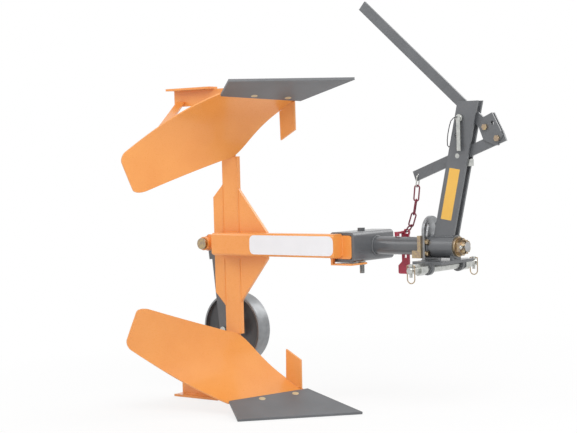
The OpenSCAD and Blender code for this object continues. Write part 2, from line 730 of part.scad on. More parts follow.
// Leg bar, with its front edge cut back to lie behind the mouldboards
module leg_bar() color(orange) on_axis() {
  cut = concat([[-leg_front, sole_z + notch_top]],
    [for (h = [notch_top:-10:198]) [min(-leg_front, mould_pt(h, beam_y1)[0] - mould_t - 5), sole_z + h]]);
  plate_y(beam_y1, leg_y1) polygon(concat(
    [[-leg_rear, leg_half], [-leg_rear, -leg_half], [-leg_front, -leg_half]],
    [for (k = [len(cut) - 1:-1:0]) cut[k]],
    [for (q = cut) [q[0], -q[1]]],
    [[-leg_front, leg_half]]));
}

module leg_gussets() color(orange) on_axis() difference() {
  plate_y(beam_y1, beam_y1 + gusset_t) {
    polygon([[-leg_front, -200], [-635, -47], [-635, 47], [-leg_front, 200]]);
    polygon([[-leg_rear, -215], [-leg_rear, 215], [rear_plate_x, 170], [rear_plate_x, -170]]);
    translate([arm_pivot[0], -15]) square([rear_plate_x - arm_pivot[0], 52]);
  }
  translate([arm_pivot[0], 0, arm_pivot[1]]) rod_y(boss_y0, boss_y1, boss_r);
}

// Boss for the wheel arm pivot, on a plate behind the leg
arm_pivot = [-907, 5];
boss_r = 24;
pin_r = 12;
boss_y0 = -160;
boss_y1 = -101;
module pivot_boss() color(orange) on_axis() difference() {
  translate([arm_pivot[0], 0, arm_pivot[1]]) rod_y(boss_y0, boss_y1, boss_r);
  translate([arm_pivot[0], 0, arm_pivot[1]]) rod_y(boss_y0 - 1, boss_y1 + 1, pin_r + run_gap);
}

/* Plough bodies, written for the lower one */

tip = [-284, -79];
edge_len = share_cut / sin(share_angle);
edge_dir = [-cos(share_angle), -sin(share_angle)];
sole_z = -body_h;

// Moves a plate drawn on the share plane to its place: X along the edge, Y up the slope
module on_share(lift = 0) translate([tip[0], tip[1], sole_z])
  multmatrix([
    [edge_dir[0], edge_dir[1] * cos(share_rise), -edge_dir[1] * sin(share_rise), 0],
    [edge_dir[1], -edge_dir[0] * cos(share_rise), edge_dir[0] * sin(share_rise), 0],
    [0, sin(share_rise), cos(share_rise), 0],
    [0, 0, 0, 1]]) translate([0, 0, lift]) children();

share_joint_front = [149, 192];
share_joint_rear = [edge_len + 8, 133];
share_bolt_pts = [[199, 160], [320, 136]];
bolt_r = 6;
sink_r = 11.3;
sink_t = 5;
module share_outline() polygon([[0, 0], [edge_len, 0], share_joint_rear, share_joint_front]);
module share_body() difference() {
  on_share() linear_extrude(share_t) share_outline();
  on_share() rotate([share_rise, 0, 0]) translate([-50, -100, 0.01]) cube([edge_len + 100, 100, 40]);
  on_share() for (p = share_bolt_pts) translate([p[0], p[1], 0]) {
    translate([0, 0, -1]) cylinder(r = bolt_r + gap, h = share_t + 2, $fn = fine);
    translate([0, 0, share_t - sink_t]) cylinder(r1 = bolt_r + gap, r2 = sink_r + gap, h = sink_t,
        $fn = fine);
    translate([0, 0, share_t - eps]) cylinder(r = sink_r + gap, h = 1, $fn = fine);
  }
}
module share_lower() color(share_grey) on_axis() share_body();
module share_upper() color(share_grey) on_axis() mirror([0, 0, 1]) share_body();

module share_bolt_set() on_share() for (p = share_bolt_pts) translate([p[0], p[1], 0]) {
  translate([0, 0, -frog_t - 10]) cylinder(r = bolt_r, h = frog_t + 10 + share_t - sink_t, $fn = smooth);
  translate([0, 0, share_t - sink_t]) cylinder(r1 = bolt_r, r2 = sink_r, h = sink_t, $fn = smooth);
  translate([0, 0, -frog_t - 10]) cylinder(r = 10.5, h = 10, $fn = 6);
}
module share_bolts() color(gold_zinc) on_axis() for (s = [0, 1]) mirror([0, 0, s]) share_bolt_set();

// Mouldboard surface: level straight lines whose angle and place change with height
lead_y = -78;
lead_h = 64;
lead_start = -531;
lead_reach = 257;
lead_fade = 107;
angle_low = 52.7;
angle_gain = 31.8;
angle_fade = 330;
function line_angle(h) = angle_low + angle_gain * (1 - exp(-(h - 42) / angle_fade));
function lead_x(h) = lead_start - lead_reach * (1 - exp(-(h - lead_h) / lead_fade));
function mould_pt(h, y) = [lead_x(h) - (lead_y - y) / tan(line_angle(h)), y, sole_z + h];

// Outline of the mouldboard as height and sideways place
edge_front = [[64, -76], [130, -84], [262, -104], [264, -170]];
edge_top = [380, -503];
edge_low = [44, -328];
edge_tail = [246, -543];
function bez(p, t) = pow(1 - t, 3) * p[0] + 3 * pow(1 - t,
    2) * t * p[1] + 3 * (1 - t) * t * t * p[2] + t * t * t * p[3];
front_share = 0.42;
function top_edge(v) = v < front_share
  ? bez(edge_front, v / front_share)
  : edge_front[3] + (edge_top - edge_front[3]) * (v - front_share) / (1 - front_share);
function low_edge(v) = edge_low + (edge_tail - edge_low) * v - [0, -14 * sin(180 * v)];
corner_v = 0.92;
corner_u = 0.16;
function inset(v) = v < corner_v ? 0 : corner_u * (1 - sqrt(max(0,
    1 - pow((v - corner_v) / (1 - corner_v), 2))));
mould_rows = 26;
mould_cols = 14;
// Height and sideways place of grid point i, j; the rows are closer at the tail
function mould_hy(i, j) = let (
    v = sin(90 * i / mould_rows),
    u = inset(v) + (1 - 2 * inset(v)) * j / mould_cols)
  low_edge(v) * (1 - u) + top_edge(v) * u;
function mould_back(h, y) = unit(cross(
    mould_pt(h + 0.5, y) - mould_pt(h - 0.5, y), mould_pt(h, y + 0.5) - mould_pt(h, y - 0.5)));
module mould_body() {
  w = mould_cols + 1;
  n = (mould_rows + 1) * w;
  places = [for (i = [0:mould_rows]) for (j = [0:mould_cols]) mould_hy(i, j)];
  front = [for (q = places) mould_pt(q[0], q[1])];
  back = [for (q = places) mould_pt(q[0], q[1]) + mould_t * mould_back(q[0], q[1])];
  cells = [for (i = [0:mould_rows - 1]) for (j = [0:mould_cols - 1]) i * w + j];
  rim = concat(
    [for (j = [0:mould_cols - 1]) j],
    [for (i = [0:mould_rows - 1]) i * w + mould_cols],
    [for (j = [mould_cols:-1:1]) mould_rows * w + j],
    [for (i = [mould_rows:-1:1]) i * w]);
  polyhedron(concat(front, back), concat(
    [for (a = cells) each [[a, a + w, a + 1], [a + 1, a + w, a + w + 1]]],
    [for (a = cells) each [[n + a, n + a + 1, n + a + w], [n + a + 1, n + a + w + 1, n + a + w]]],
    [for (k = [0:len(rim) - 1]) let (a = rim[k], b = rim[(k + 1) % len(rim)]) each [[a, b, n + a],
        [b, n + b, n + a]]]));
}
module mouldboard_lower() color(orange) on_axis() mould_body();
module mouldboard_upper() color(orange) on_axis() mirror([0, 0, 1]) mould_body();

// Landside bar along the furrow wall
land_y1 = -72;
land_y0 = land_y1 - landside_t;
heel_x = -1100;
module landside_body() plate_y(land_y0, land_y1) polygon([
  [-540, sole_z + 8], [heel_x, sole_z + 8], [heel_x, sole_z + 8 + landside_h * 0.9],
  [heel_x + 18, sole_z + 8 + landside_h], [-600, sole_z + 8 + landside_h], [-560, sole_z + 40]
]);
module landside_lower() color(orange) on_axis() landside_body();
module landside_upper() color(orange) on_axis() mirror([0, 0, 1]) landside_body();

module sole_body() box([heel_x - 15, land_y0 - 30, sole_z],
    [heel_x - 15 + sole_len, land_y1 + 8, sole_z + 8]);
module sole_plates() color(orange) on_axis() for (s = [0, 1]) mirror([0, 0, s]) sole_body();

// Frog: an upright plate beside the leg and a sloped plate under the share
frog_y0 = leg_y1;
frog_y1 = leg_y1 + frog_t;
nut_room = 12.5;
module frog_body() difference() {
  union() {
    plate_y(frog_y0, frog_y1) polygon(concat(
      [[-840, sole_z + 62], [-840, sole_z + 190], [-800, sole_z + 205]],
      [for (h = [176:-5:61]) frog_edge(h)],
      [[-527, sole_z + 47], [-490, sole_z + 36], [-490, sole_z + 27], [-640, sole_z + 24],
          [-780, sole_z + 24]]));
    box([-780, frog_y1, sole_z + 24], [-670, land_y0, sole_z + 50]);
    on_share(-frog_t) linear_extrude(frog_t) polygon([[150, 100], [360, 100], [362, 138], [160, 179],
        [140, 160]]);
  }
  for (p = share_bolt_pts) on_share(-frog_t) translate(p) {
    translate([0, 0, -1]) cylinder(r = bolt_r + gap, h = frog_t + 2, $fn = fine);
    translate([0, 0, -40]) cylinder(r = nut_room, h = 40, $fn = fine);
  }
}
// Point just behind the mouldboard, at the side of the upright plate nearest to it
function frog_edge(h) = let (p = mould_pt(h, frog_y0) + (mould_t + 2 * gap) * mould_back(h,
    frog_y0)) [p[0], p[2]];
module frog_lower() color(orange) on_axis() frog_body();
module frog_upper() color(orange) on_axis() mirror([0, 0, 1]) frog_body();

// Flat stays from the rear of the landsides to the backs of the mouldboards
stay_t = 8;
stay_w = 30;
module mouldboard_stays() color(orange) on_axis() for (s = [0, 1]) mirror([0, 0, s]) {
  a = [-1062, land_y0 - 8.2, sole_z + 52];
  b = mould_pt(215, -440) + (mould_t + 10) * mould_back(215, -440);
  d = b - a;
  translate(a) rotate([0, acos(d[2] / norm(d)), atan2(d[1], d[0])])
    translate([-stay_t / 2, -stay_w / 2, 0]) cube([stay_t, stay_w, norm(d)]);
}

// Upright fins on the front edges of the mouldboards
fin_y0 = -84;
fin_y1 = -76;
module edge_fins() color(orange) on_axis() for (s = [0, 1]) mirror([0, 0, s])
  plate_y(fin_y0, fin_y1) polygon(concat(
    [for (h = [102:-5.5:69]) [mould_pt(h, fin_y1)[0] + 1, sole_z + h]],
    [[-540, sole_z + 168], [-603, sole_z + 202]]));

/* Depth wheel */

arm_y0 = boss_y1 + 1;
arm_y1 = arm_y0 + wheel_arm_t;
axle_r = 12.5;
module wheel_pivot_pin() color("#8a8378") on_axis() translate([arm_pivot[0], 0, arm_pivot[1]]) {
  rod_y(boss_y0, arm_y1 + 18, pin_r);
  rod_y(boss_y0 - 12, boss_y0, 20);
  rod_y(arm_y1 + 1, arm_y1 + 4, 20);
  translate([0, arm_y1 + 4, 0]) rotate([-90, 0, 0]) cylinder(r = 20, h = 12, $fn = 6);
}
module on_arm() on_axis() translate([arm_pivot[0], 0, arm_pivot[1]]) rotate([0, -wheel_arm_lean,
    0]) children();
module wheel_arm() color(dark_grey) on_arm() difference() {
  plate_y(arm_y0, arm_y1) {
    translate([-wheel_arm_w / 2, -wheel_arm_len]) square([wheel_arm_w, wheel_arm_len]);
    translate([-33, -58]) square([66, 88]);
    translate([0, -wheel_arm_len]) circle(r = wheel_arm_w / 2, $fn = fine);
  }
  rod_y(arm_y0 - 1, arm_y1 + 1, pin_r + run_gap);
  translate([0, 0, -wheel_arm_len]) rod_y(arm_y0 - 1, arm_y1 + 1, axle_r + run_gap);
}
wheel_y0 = -60;
hub_r = 24;
module at_wheel() on_arm() translate([0, 0, -wheel_arm_len]) children();
module wheel_axle() color(zinc) at_wheel() {
  rod_y(arm_y0 - 8, wheel_y0 + wheel_w + 14, axle_r);
  rod_y(arm_y1, arm_y1 + 12, 19);
  rod_y(wheel_y0 + wheel_w + 5, wheel_y0 + wheel_w + 10, 19);
}
module wheel_hub() color(dark_grey) at_wheel() difference() {
  rod_y(arm_y1 + 13, wheel_y0 + wheel_w + 4, hub_r);
  rod_y(arm_y1 + 12, wheel_y0 + wheel_w + 5, axle_r + run_gap);
}
tread_r = wheel_d / 2 - 8;
module wheel_disc() color("#4c4d50") at_wheel() translate([0, wheel_y0, 0]) rotate([-90, 0,
    0]) rotate_extrude($fn = 96) polygon([
  [hub_r + gap, 22], [50, 24], [80, 18], [tread_r - gap, 14], [tread_r - gap, 20], [82, 24], [52, 30],
      [hub_r + gap, 28]
]);
module wheel_tread() color("#b9bbbd") at_wheel() translate([0, wheel_y0, 0]) rotate([-90, 0,
    0]) rotate_extrude($fn = 96) polygon([
  [tread_r, 0], [wheel_d / 2 - 2, 0], [wheel_d / 2, 4], [wheel_d / 2, wheel_w - 4],
      [wheel_d / 2 - 2, wheel_w], [tread_r, wheel_w]
]);

mast_plate_near();
mast_plate_far();
mast_spacers();
headstock_sleeve();
sleeve_bushes();
headstock_plate();
base_plate();
hitch_ears();
hitch_bar();
lower_link_pins();
lynch_pins();
lynch_ring_near();
lynch_ring_far();
top_link_pin();
top_link_clip();
tether();
lock_plate();
lock_bolts();
latch_carrier();
latch_bolts();
latch_plate();
lever_handle();
lever_arm();
lever_brackets();
lever_bolts();
chain_hook();
chain_links();
chain_shackle();
spindle_shaft();
spindle_tube();
cross_socket();
spindle_washer();
castle_nut();
cotter_pin();
clamp_bolt();
clamp_nut();
cross_bar();
beam_tube();
guide_plate();
leg_bar();
leg_gussets();
pivot_boss();
frog_lower();
frog_upper();
share_lower();
share_upper();
share_bolts();
mouldboard_lower();
mouldboard_upper();
landside_lower();
landside_upper();
sole_plates();
mouldboard_stays();
edge_fins();
wheel_pivot_pin();
wheel_arm();
wheel_axle();
wheel_hub();
wheel_disc();
wheel_tread();
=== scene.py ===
"""Looks of a reversible mounted plough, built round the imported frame.

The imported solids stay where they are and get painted, plated and bare steel finishes.
This script adds smooth mouldboard skins, weld seams, a screw thread, the blank label on the
beam, the blank strip on the mast and the pin's cord.
Places are in millimetres from the frame's origin, with Z from the turning axis above it.
A name that ends in _m is in metres.
"""

import json
import logging
import math
from dataclasses import dataclass, field
from enum import Enum
from typing import Callable, Sequence

import bpy
from mathutils import Matrix, Vector


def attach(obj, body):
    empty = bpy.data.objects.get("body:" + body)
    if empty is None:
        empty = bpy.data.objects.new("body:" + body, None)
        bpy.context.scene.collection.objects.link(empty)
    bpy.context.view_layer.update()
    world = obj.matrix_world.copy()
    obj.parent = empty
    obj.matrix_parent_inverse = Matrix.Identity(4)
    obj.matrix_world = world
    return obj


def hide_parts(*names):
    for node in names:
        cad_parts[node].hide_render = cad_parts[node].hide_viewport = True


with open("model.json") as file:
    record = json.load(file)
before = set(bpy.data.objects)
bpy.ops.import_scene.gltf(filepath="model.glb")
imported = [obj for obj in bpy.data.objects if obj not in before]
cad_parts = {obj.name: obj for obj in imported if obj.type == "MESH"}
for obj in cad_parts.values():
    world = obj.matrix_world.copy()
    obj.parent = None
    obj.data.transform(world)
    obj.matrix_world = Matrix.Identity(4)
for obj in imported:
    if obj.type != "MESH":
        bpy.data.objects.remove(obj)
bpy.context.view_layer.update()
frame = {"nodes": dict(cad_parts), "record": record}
LOG = logging.getLogger("plough")
MM = 0.001
AXIS_HEIGHT = 66.0
Point = tuple[float, float, float]
Pair = tuple[float, float]
Socket = bpy.types.NodeSocket
Material = bpy.types.Material

# Inputs and output of a colour mix node, which only numbers tell apart
MIX_SHARE, MIX_UNDER, MIX_OVER, MIX_RESULT = 0, 6, 7, 2
# Noise detail of the tone clouds, the grain and the dust
CLOUD_DETAIL, GRAIN_DETAIL, DUST_DETAIL = 4.0, 3.0, 2.0
# Noise values at which the tone leaves the main colour and reaches the shade
CLOUD_SPREAD = (0.35, 0.65)
# Cosines between the rounded and the flat face at which the lighter edge colour, a painted highlight mixed
# with wear, starts and is full
EDGE_SPREAD = (0.99, 0.85)
BEVEL_SAMPLES = 6
# Grain value at which an edge starts to take the lighter edge colour, a painted highlight mixed with wear,
# how far a full share lowers it, and where it is full
HIGHLIGHT_AND_WEAR_START, HIGHLIGHT_AND_WEAR_REACH, HIGHLIGHT_AND_WEAR_FULL = 0.6, 0.4, 0.75
# Dust specks, in millimetres, coarser than real ones so that they show, and their noise values
DUST_MM = 0.9
DUST_SPREAD = (0.66, 0.74)
# Grain values that stand for the lowest and the highest roughness
GLOSS_SPREAD = (0.3, 0.7)
COAT_ROUGHNESS = 0.12

# Any direction that no swept path starts along
SECTION_START = (0.31, 0.17, 0.93)
# Degrees from point to point of an arc, and the fewest steps of one
ARC_STEP, ARC_STEPS_MIN = 7.5, 6
SHORTEST = 1e-12
# Weld: sides of the bead, length of a ripple, points to one, and a ripple's height and phase
WELD_SIDES, RIPPLE, RIPPLE_POINTS, RIPPLE_HEIGHT, RIPPLE_PHASE = 8, 3.4, 3, 0.13, 0.5
# Slow change of a bead's thickness: its height and its turn from point to point in radians
WANDER_HEIGHT, WANDER_TURN = 0.06, 0.21
# Thread: steps to a turn, and the ridge's section in pitches along and half pitches out
THREAD_STEPS = 24
THREAD_SECTION = ((-0.42, -0.35), (-0.06, 0.55), (0.06, 0.55), (0.42, -0.35))
# Sticker: outward direction of its face, steps round a corner, and height and inset of its outlines
NEAR_SIDE = (0, -1, 0)
CORNER_STEPS = 8
STICKER_LEVELS = ((0.02, 0.0), (0.22, 0.0), (0.3, 0.12))
CORD_SIDES = 16
# Millimetres to each side over which the mouldboard's slope is taken
SLOPE_REACH = 0.5
# Angles in degrees above which an edge stays sharp
WELD_CREASE, THREAD_CREASE, STICKER_CREASE, CORD_CREASE, SKIN_CREASE = 60.0, 50.0, 30.0, 60.0, 40.0


def place(point: Sequence[float]) -> Vector:
    """Turns a place in millimetres from the turning axis into metres in the frame."""
    return Vector((point[0], point[1], point[2] + AXIS_HEIGHT)) * MM


def linear(colour: str) -> tuple[float, float, float, float]:
    """Turns an sRGB hex colour into linear values by the sRGB curve.

    Args:
        colour: The colour, such as "#f0a052".

    Returns:
        Red, green and blue, and an alpha of 1.
    """
    parts = [int(colour[i:i + 2], 16) / 255 for i in (1, 3, 5)]
    bent = [c / 12.92 if c <= 0.04045 else ((c + 0.055) / 1.055) ** 2.4 for c in parts]
    return (bent[0], bent[1], bent[2], 1.0)


def add(tree: bpy.types.NodeTree, kind: str, values: dict | None = None,
        links: dict | None = None, **settings: object) -> bpy.types.Node:
    """Adds one node to a tree.

    Args:
        tree: The node tree.
        kind: The node's type name after ShaderNode.
        values: Fixed values by input name or number.
        links: Output sockets by input name or number.
        settings: The node's own settings.

    Returns:
        The new node.
    """
    made = tree.nodes.new("ShaderNode" + kind)
    for name, value in settings.items():
        setattr(made, name, value)
    for name, value in (values or {}).items():
        made.inputs[name].default_value = value
    for name, socket in (links or {}).items():
        tree.links.new(socket, made.inputs[name])
    return made


def cleared(owner: Material | bpy.types.World) -> bpy.types.NodeTree:
    """Empties the nodes of a material or a world.

    Args:
        owner: The material or world.

    Returns:
        Its node tree, with nothing in it.
    """
    owner.use_nodes = True
    owner.node_tree.nodes.clear()
    return owner.node_tree


def stand(name: str, data: bpy.types.ID) -> bpy.types.Object:
    """Stands a mesh, lamp or camera in the scene.

    Args:
        name: Name of the object.
        data: What it shows.

    Returns:
        The new object.
    """
    made = bpy.data.objects.new(name, data)
    bpy.context.scene.collection.objects.link(made)
    return made


def per_metre(size_mm: float) -> float:
    """Pattern scale, in repeats a metre, of a detail of this size."""
    return 1 / (size_mm * MM)


@dataclass(frozen=True)
class Finish:
    """Shared parts of every finish: even tone changes, a rounded edge with a painted highlight mixed with
    wear in a lighter colour, and a fine grain.

    Attributes:
        name: Name of the material.
        colour: Main colour.
        shade: Colour of the clouds and of the dust specks.
        edge_highlight_and_wear: Lighter colour along the edges, a painted highlight mixed with wear.
        roughness: Lowest and highest roughness.
        metallic: Metallic share.
        cloud_mm: Size of the tone changes.
        grain_mm: Size of the surface grain, coarser than the real one so that it shows.
        grain: Height of the grain in millimetres.
        highlight_and_wear_share: Share of the edges that the lighter edge colour, a painted highlight mixed
            with wear, takes.
        coat: Weight of a clear gloss layer.
        stretch: How much finer the grain is along X, Y and Z.
        specks: Share of the shade colour that dust specks take.
        edge_mm: Radius of the rounded edge.
    """

    name: str
    colour: str
    shade: str
    edge_highlight_and_wear: str
    roughness: Pair = (0.3, 0.4)
    metallic: float = 0.0
    cloud_mm: float = 90.0
    grain_mm: float = 2.5
    grain: float = 0.02
    highlight_and_wear_share: float = 0.3
    coat: float = 0.0
    stretch: Point = (1.0, 1.0, 1.0)
    specks: float = 0.0
    edge_mm: float = 1.2

    def build(self) -> Material:
        """Builds the material's nodes.

        Returns:
            The finished material.
        """
        material = bpy.data.materials.new(self.name)
        tree = cleared(material)
        where = add(tree, "TexCoord").outputs["Object"]
        cloud = add(tree, "TexNoise", {"Scale": per_metre(self.cloud_mm), "Detail": CLOUD_DETAIL},
                    {"Vector": where}).outputs["Fac"]
        stretched = add(tree, "Mapping", {"Scale": self.stretch}, {"Vector": where}).outputs["Vector"]
        grain = add(tree, "TexNoise", {"Scale": per_metre(self.grain_mm), "Detail": GRAIN_DETAIL},
                    {"Vector": stretched}).outputs["Fac"]
        toned = add(tree, "MapRange", {"From Min": CLOUD_SPREAD[0], "From Max": CLOUD_SPREAD[1]},
                    {"Value": cloud}).outputs["Result"]
        colour = add(tree, "Mix", {MIX_UNDER: linear(self.colour), MIX_OVER: linear(self.shade)},
                     {MIX_SHARE: toned}, data_type="RGBA").outputs[MIX_RESULT]
        rounded = add(tree, "Bevel", {"Radius": self.edge_mm * MM}, samples=BEVEL_SAMPLES).outputs["Normal"]
        # Patches along the rounded edges take the lighter edge colour: a painted highlight mixed with wear
        flat = add(tree, "NewGeometry").outputs["Normal"]
        near_edge = add(tree, "VectorMath", None, {0: rounded, 1: flat},
                        operation="DOT_PRODUCT").outputs["Value"]
        edge_highlight_and_wear = add(tree, "MapRange", {"From Min": EDGE_SPREAD[0], "From Max": EDGE_SPREAD[1]},
                   {"Value": near_edge}).outputs["Result"]
        highlight_and_wear_from = HIGHLIGHT_AND_WEAR_START - self.highlight_and_wear_share * HIGHLIGHT_AND_WEAR_REACH
        patchy = add(tree, "MapRange", {"From Min": highlight_and_wear_from, "From Max": HIGHLIGHT_AND_WEAR_FULL},
                     {"Value": grain}).outputs["Result"]
        highlight_and_wear = add(tree, "Math", None, {0: edge_highlight_and_wear, 1: patchy}, operation="MULTIPLY").outputs["Value"]
        colour = add(tree, "Mix", {MIX_OVER: linear(self.edge_highlight_and_wear)},
                     {MIX_SHARE: highlight_and_wear, MIX_UNDER: colour}, data_type="RGBA").outputs[MIX_RESULT]
        if self.specks:
            dust = add(tree, "TexNoise", {"Scale": per_metre(DUST_MM), "Detail": DUST_DETAIL},
                       {"Vector": where}).outputs["Fac"]
            speck = add(tree, "MapRange", {"From Min": DUST_SPREAD[0], "From Max": DUST_SPREAD[1],
                        "To Max": self.specks}, {"Value": dust}).outputs["Result"]
            colour = add(tree, "Mix", {MIX_OVER: linear(self.shade)},
                         {MIX_SHARE: speck, MIX_UNDER: colour}, data_type="RGBA").outputs[MIX_RESULT]
        rough = add(tree, "MapRange", {"From Min": GLOSS_SPREAD[0], "From Max": GLOSS_SPREAD[1],
                    "To Min": self.roughness[0], "To Max": self.roughness[1]},
                    {"Value": grain}).outputs["Result"]
        bump = add(tree, "Bump", {"Strength": 1.0, "Distance": self.grain * MM},
                   {"Height": grain, "Normal": rounded}).outputs["Normal"]
        shader = add(tree, "BsdfPrincipled", {"Metallic": self.metallic, "Coat Weight": self.coat,
                     "Coat Roughness": COAT_ROUGHNESS},
                     {"Base Color": colour, "Roughness": rough, "Normal": bump}).outputs["BSDF"]
        add(tree, "OutputMaterial", None, {"Surface": shader})
        return material


# The third colour of each finish is a lighter edge colour: a painted highlight along the edges, mixed with
# wear
# Sprayed semi-gloss enamel on plate: even, warm, with a faint orange peel
ORANGE = Finish("orange_enamel_on_steel_plate", "#f0a052", "#eb984a", "#f8bd84", (0.25, 0.34),
                cloud_mm=160, grain_mm=2.6, grain=0.007, highlight_and_wear_share=0.5, coat=0.35)
# Sprayed grey enamel on the shares: satin, with lighter edges that are partly rubbed paint and partly a
# painted highlight, and faint dust in the spray
SHARE_GREY = Finish("grey_enamel_on_hardened_share", "#6d6f72", "#66686b", "#8d8f92", (0.42, 0.55),
                    cloud_mm=120, grain_mm=2.4, grain=0.008, highlight_and_wear_share=0.8, specks=0.12)
# Dark grey enamel on hot rolled steel: glossy, slightly uneven from the mill scale below
DARK_GREY = Finish("grey_enamel_on_rolled_steel", "#636568", "#5c5e61", "#85888b", (0.25, 0.36),
                   cloud_mm=70, grain_mm=2.0, grain=0.015, highlight_and_wear_share=0.6, coat=0.3, specks=0.12)
# Bright zinc on turned steel: a pale grey mirror, softened by a crystalline cloudiness
ZINC = Finish("bright_zinc_on_turned_steel", "#c9cac6", "#b3b5b2", "#dddddb", (0.24, 0.36), metallic=1.0,
              cloud_mm=12, grain_mm=0.9, grain=0.004, highlight_and_wear_share=0.4, edge_mm=0.7)
# Zinc on laser cut plate: duller than on turned parts, with drifting grey clouds
PLATE_ZINC = Finish("dull_zinc_on_cut_plate", "#a9abad", "#909294", "#c9cacb", (0.34, 0.48), metallic=1.0,
                    cloud_mm=18, grain_mm=1.2, grain=0.008, highlight_and_wear_share=0.5)
# Yellow chromate over zinc: straw yellow that drifts to pinkish grey
GOLD_ZINC = Finish("yellow_chromate_on_zinc", "#bca880", "#a08d80", "#d8cdb0", (0.28, 0.4), metallic=1.0,
                   cloud_mm=7, grain_mm=0.9, grain=0.005, highlight_and_wear_share=0.5, edge_mm=0.7)
# Turned and ground steel: fine rings round the shaft
TURNED = Finish("ground_shaft_steel", "#b4b4b3", "#a2a2a2", "#cfcfce", (0.2, 0.32), metallic=1.0,
                cloud_mm=30, grain_mm=0.8, grain=0.003, highlight_and_wear_share=0.3, stretch=(6.0, 0.4, 0.4), edge_mm=0.6)
# Oiled sintered bronze: brownish, with a soft low gloss
BRONZE = Finish("oiled_sintered_bronze", "#a8834e", "#8d6c40", "#c4a06a", (0.4, 0.5), metallic=1.0,
                cloud_mm=9, grain_mm=0.5, grain=0.01, highlight_and_wear_share=0.2)
# Red enamel dipped on the latch plate: glossy, and pinkish along its edges, a painted highlight mixed with
# some wear
LATCH_RED = Finish("red_enamel_on_latch_plate", "#b3324a", "#a52d44", "#c9586a", (0.28, 0.38),
                   cloud_mm=25, grain_mm=1.8, grain=0.02, highlight_and_wear_share=0.4, coat=0.2)
# Dark red dip coat on a welded chain: deep red in uneven patches
CHAIN_RED = Finish("dark_red_dip_on_chain", "#82253c", "#6d1f33", "#a0526a", (0.3, 0.42), cloud_mm=8,
                   grain_mm=1.2, grain=0.02, highlight_and_wear_share=0.5, edge_mm=0.6)
# Charcoal enamel on the pressed wheel disc: satin, nearly black in its hollow
WHEEL_GREY = Finish("charcoal_enamel_on_pressed_disc", "#47494c", "#3f4144", "#6c6e71", (0.34, 0.46),
                    cloud_mm=40, grain_mm=1.8, grain=0.02, highlight_and_wear_share=0.5, coat=0.15)
# Rolled strip of the wheel rim: grey steel with streaks along the rolling
RIM_STEEL = Finish("rolled_strip_steel_rim", "#949698", "#86888a", "#b9bbbd", (0.32, 0.45), metallic=0.85,
                   cloud_mm=22, grain_mm=1.4, grain=0.01, highlight_and_wear_share=0.6, stretch=(0.5, 3.0, 0.5))
# Black sheathed cord: matt, with a fine unevenness from the braid below
CORD_BLACK = Finish("black_sheathed_cord", "#1d1d1f", "#26262a", "#38383c", (0.5, 0.62), cloud_mm=6,
                    grain_mm=0.7, grain=0.05, highlight_and_wear_share=0.1, edge_mm=0.2)
# Pale vinyl label: smooth and even, with a light gloss
LABEL_VINYL = Finish("blank_pale_vinyl_label", "#e9e9ec", "#e7e7ea", "#f4f4f4", (0.3, 0.38), cloud_mm=60,
                     grain_mm=1.5, grain=0.004, highlight_and_wear_share=0.1, coat=0.3, edge_mm=0.1)
# Worn yellow zinc under spray on the countersunk share bolts: pale and dull
SHARE_BOLT = Finish("worn_zinc_on_share_bolts", "#d9c8a2", "#bfae8c", "#efe4c8", (0.45, 0.55),
                    metallic=0.3, cloud_mm=5, grain_mm=0.8, grain=0.02, highlight_and_wear_share=0.8, edge_mm=0.7)
# Yellow vinyl strip: smooth and even, with a light gloss
STRIP_VINYL = Finish("blank_yellow_vinyl_strip", "#e6b551", "#e3b14c", "#f2d27e", (0.3, 0.38), cloud_mm=60,
                     grain_mm=1.5, grain=0.004, highlight_and_wear_share=0.1, coat=0.3, edge_mm=0.1)

BY_SLOT: dict[str, Finish] = {
    "orange_paint": ORANGE, "grey_paint": DARK_GREY, "share_paint": SHARE_GREY, "plate_zinc": PLATE_ZINC,
    "zinc": ZINC, "yellow_zinc": GOLD_ZINC, "bare_steel": TURNED, "bronze": BRONZE, "red_paint": LATCH_RED,
    "dark_red_paint": CHAIN_RED, "wheel_grey": WHEEL_GREY, "tread_steel": RIM_STEEL,
    "black_cord": CORD_BLACK,
}


class Paintshop:
    """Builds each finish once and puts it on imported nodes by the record's slot."""

    def __init__(self) -> None:
        """Starts with nothing mixed."""
        self.mixed: dict[str, Material] = {}
        self.slots = {s["node"]: s["material_slot"] for s in frame["record"]["subparts"]}

    def get(self, finish: Finish) -> Material:
        """Gives the material of a finish, built on first use.

        Args:
            finish: The finish.

        Returns:
            Its material.
        """
        if finish.name not in self.mixed:
            self.mixed[finish.name] = finish.build()
        return self.mixed[finish.name]

    def dress(self, nodes: Sequence[str], finish: Finish | None = None) -> None:
        """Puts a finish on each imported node.

        Args:
            nodes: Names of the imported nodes.
            finish: The finish, where it isn't the one of the node's slot.
        """
        for name in nodes:
            data = frame["nodes"][name].data
            data.materials.clear()
            data.materials.append(self.get(finish or BY_SLOT[self.slots[name]]))
            LOG.info("dressed %s in %s", name, self.slots[name])


SHOP = Paintshop()


def piece(name: str, points: Sequence[Vector], faces: Sequence[Sequence[int]], finish: Finish, body: str,
          crease: float) -> bpy.types.Object:
    """Makes one piece of the object from points and faces.

    Args:
        name: Name of the piece.
        points: Points in metres in the frame.
        faces: Corner numbers of each face.
        finish: Its finish.
        body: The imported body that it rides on.
        crease: Angle in degrees above which an edge stays sharp.

    Returns:
        The new object.
    """
    mesh = bpy.data.meshes.new(name)
    mesh.from_pydata([tuple(p) for p in points], [], [tuple(f) for f in faces])
    mesh.validate()
    for polygon in mesh.polygons:
        polygon.use_smooth = True
    mesh.set_sharp_from_angle(angle=math.radians(crease))
    mesh.materials.append(SHOP.get(finish))
    made = stand(name, mesh)
    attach(made, body)
    LOG.info("made %s with %d faces", name, len(mesh.polygons))
    return made


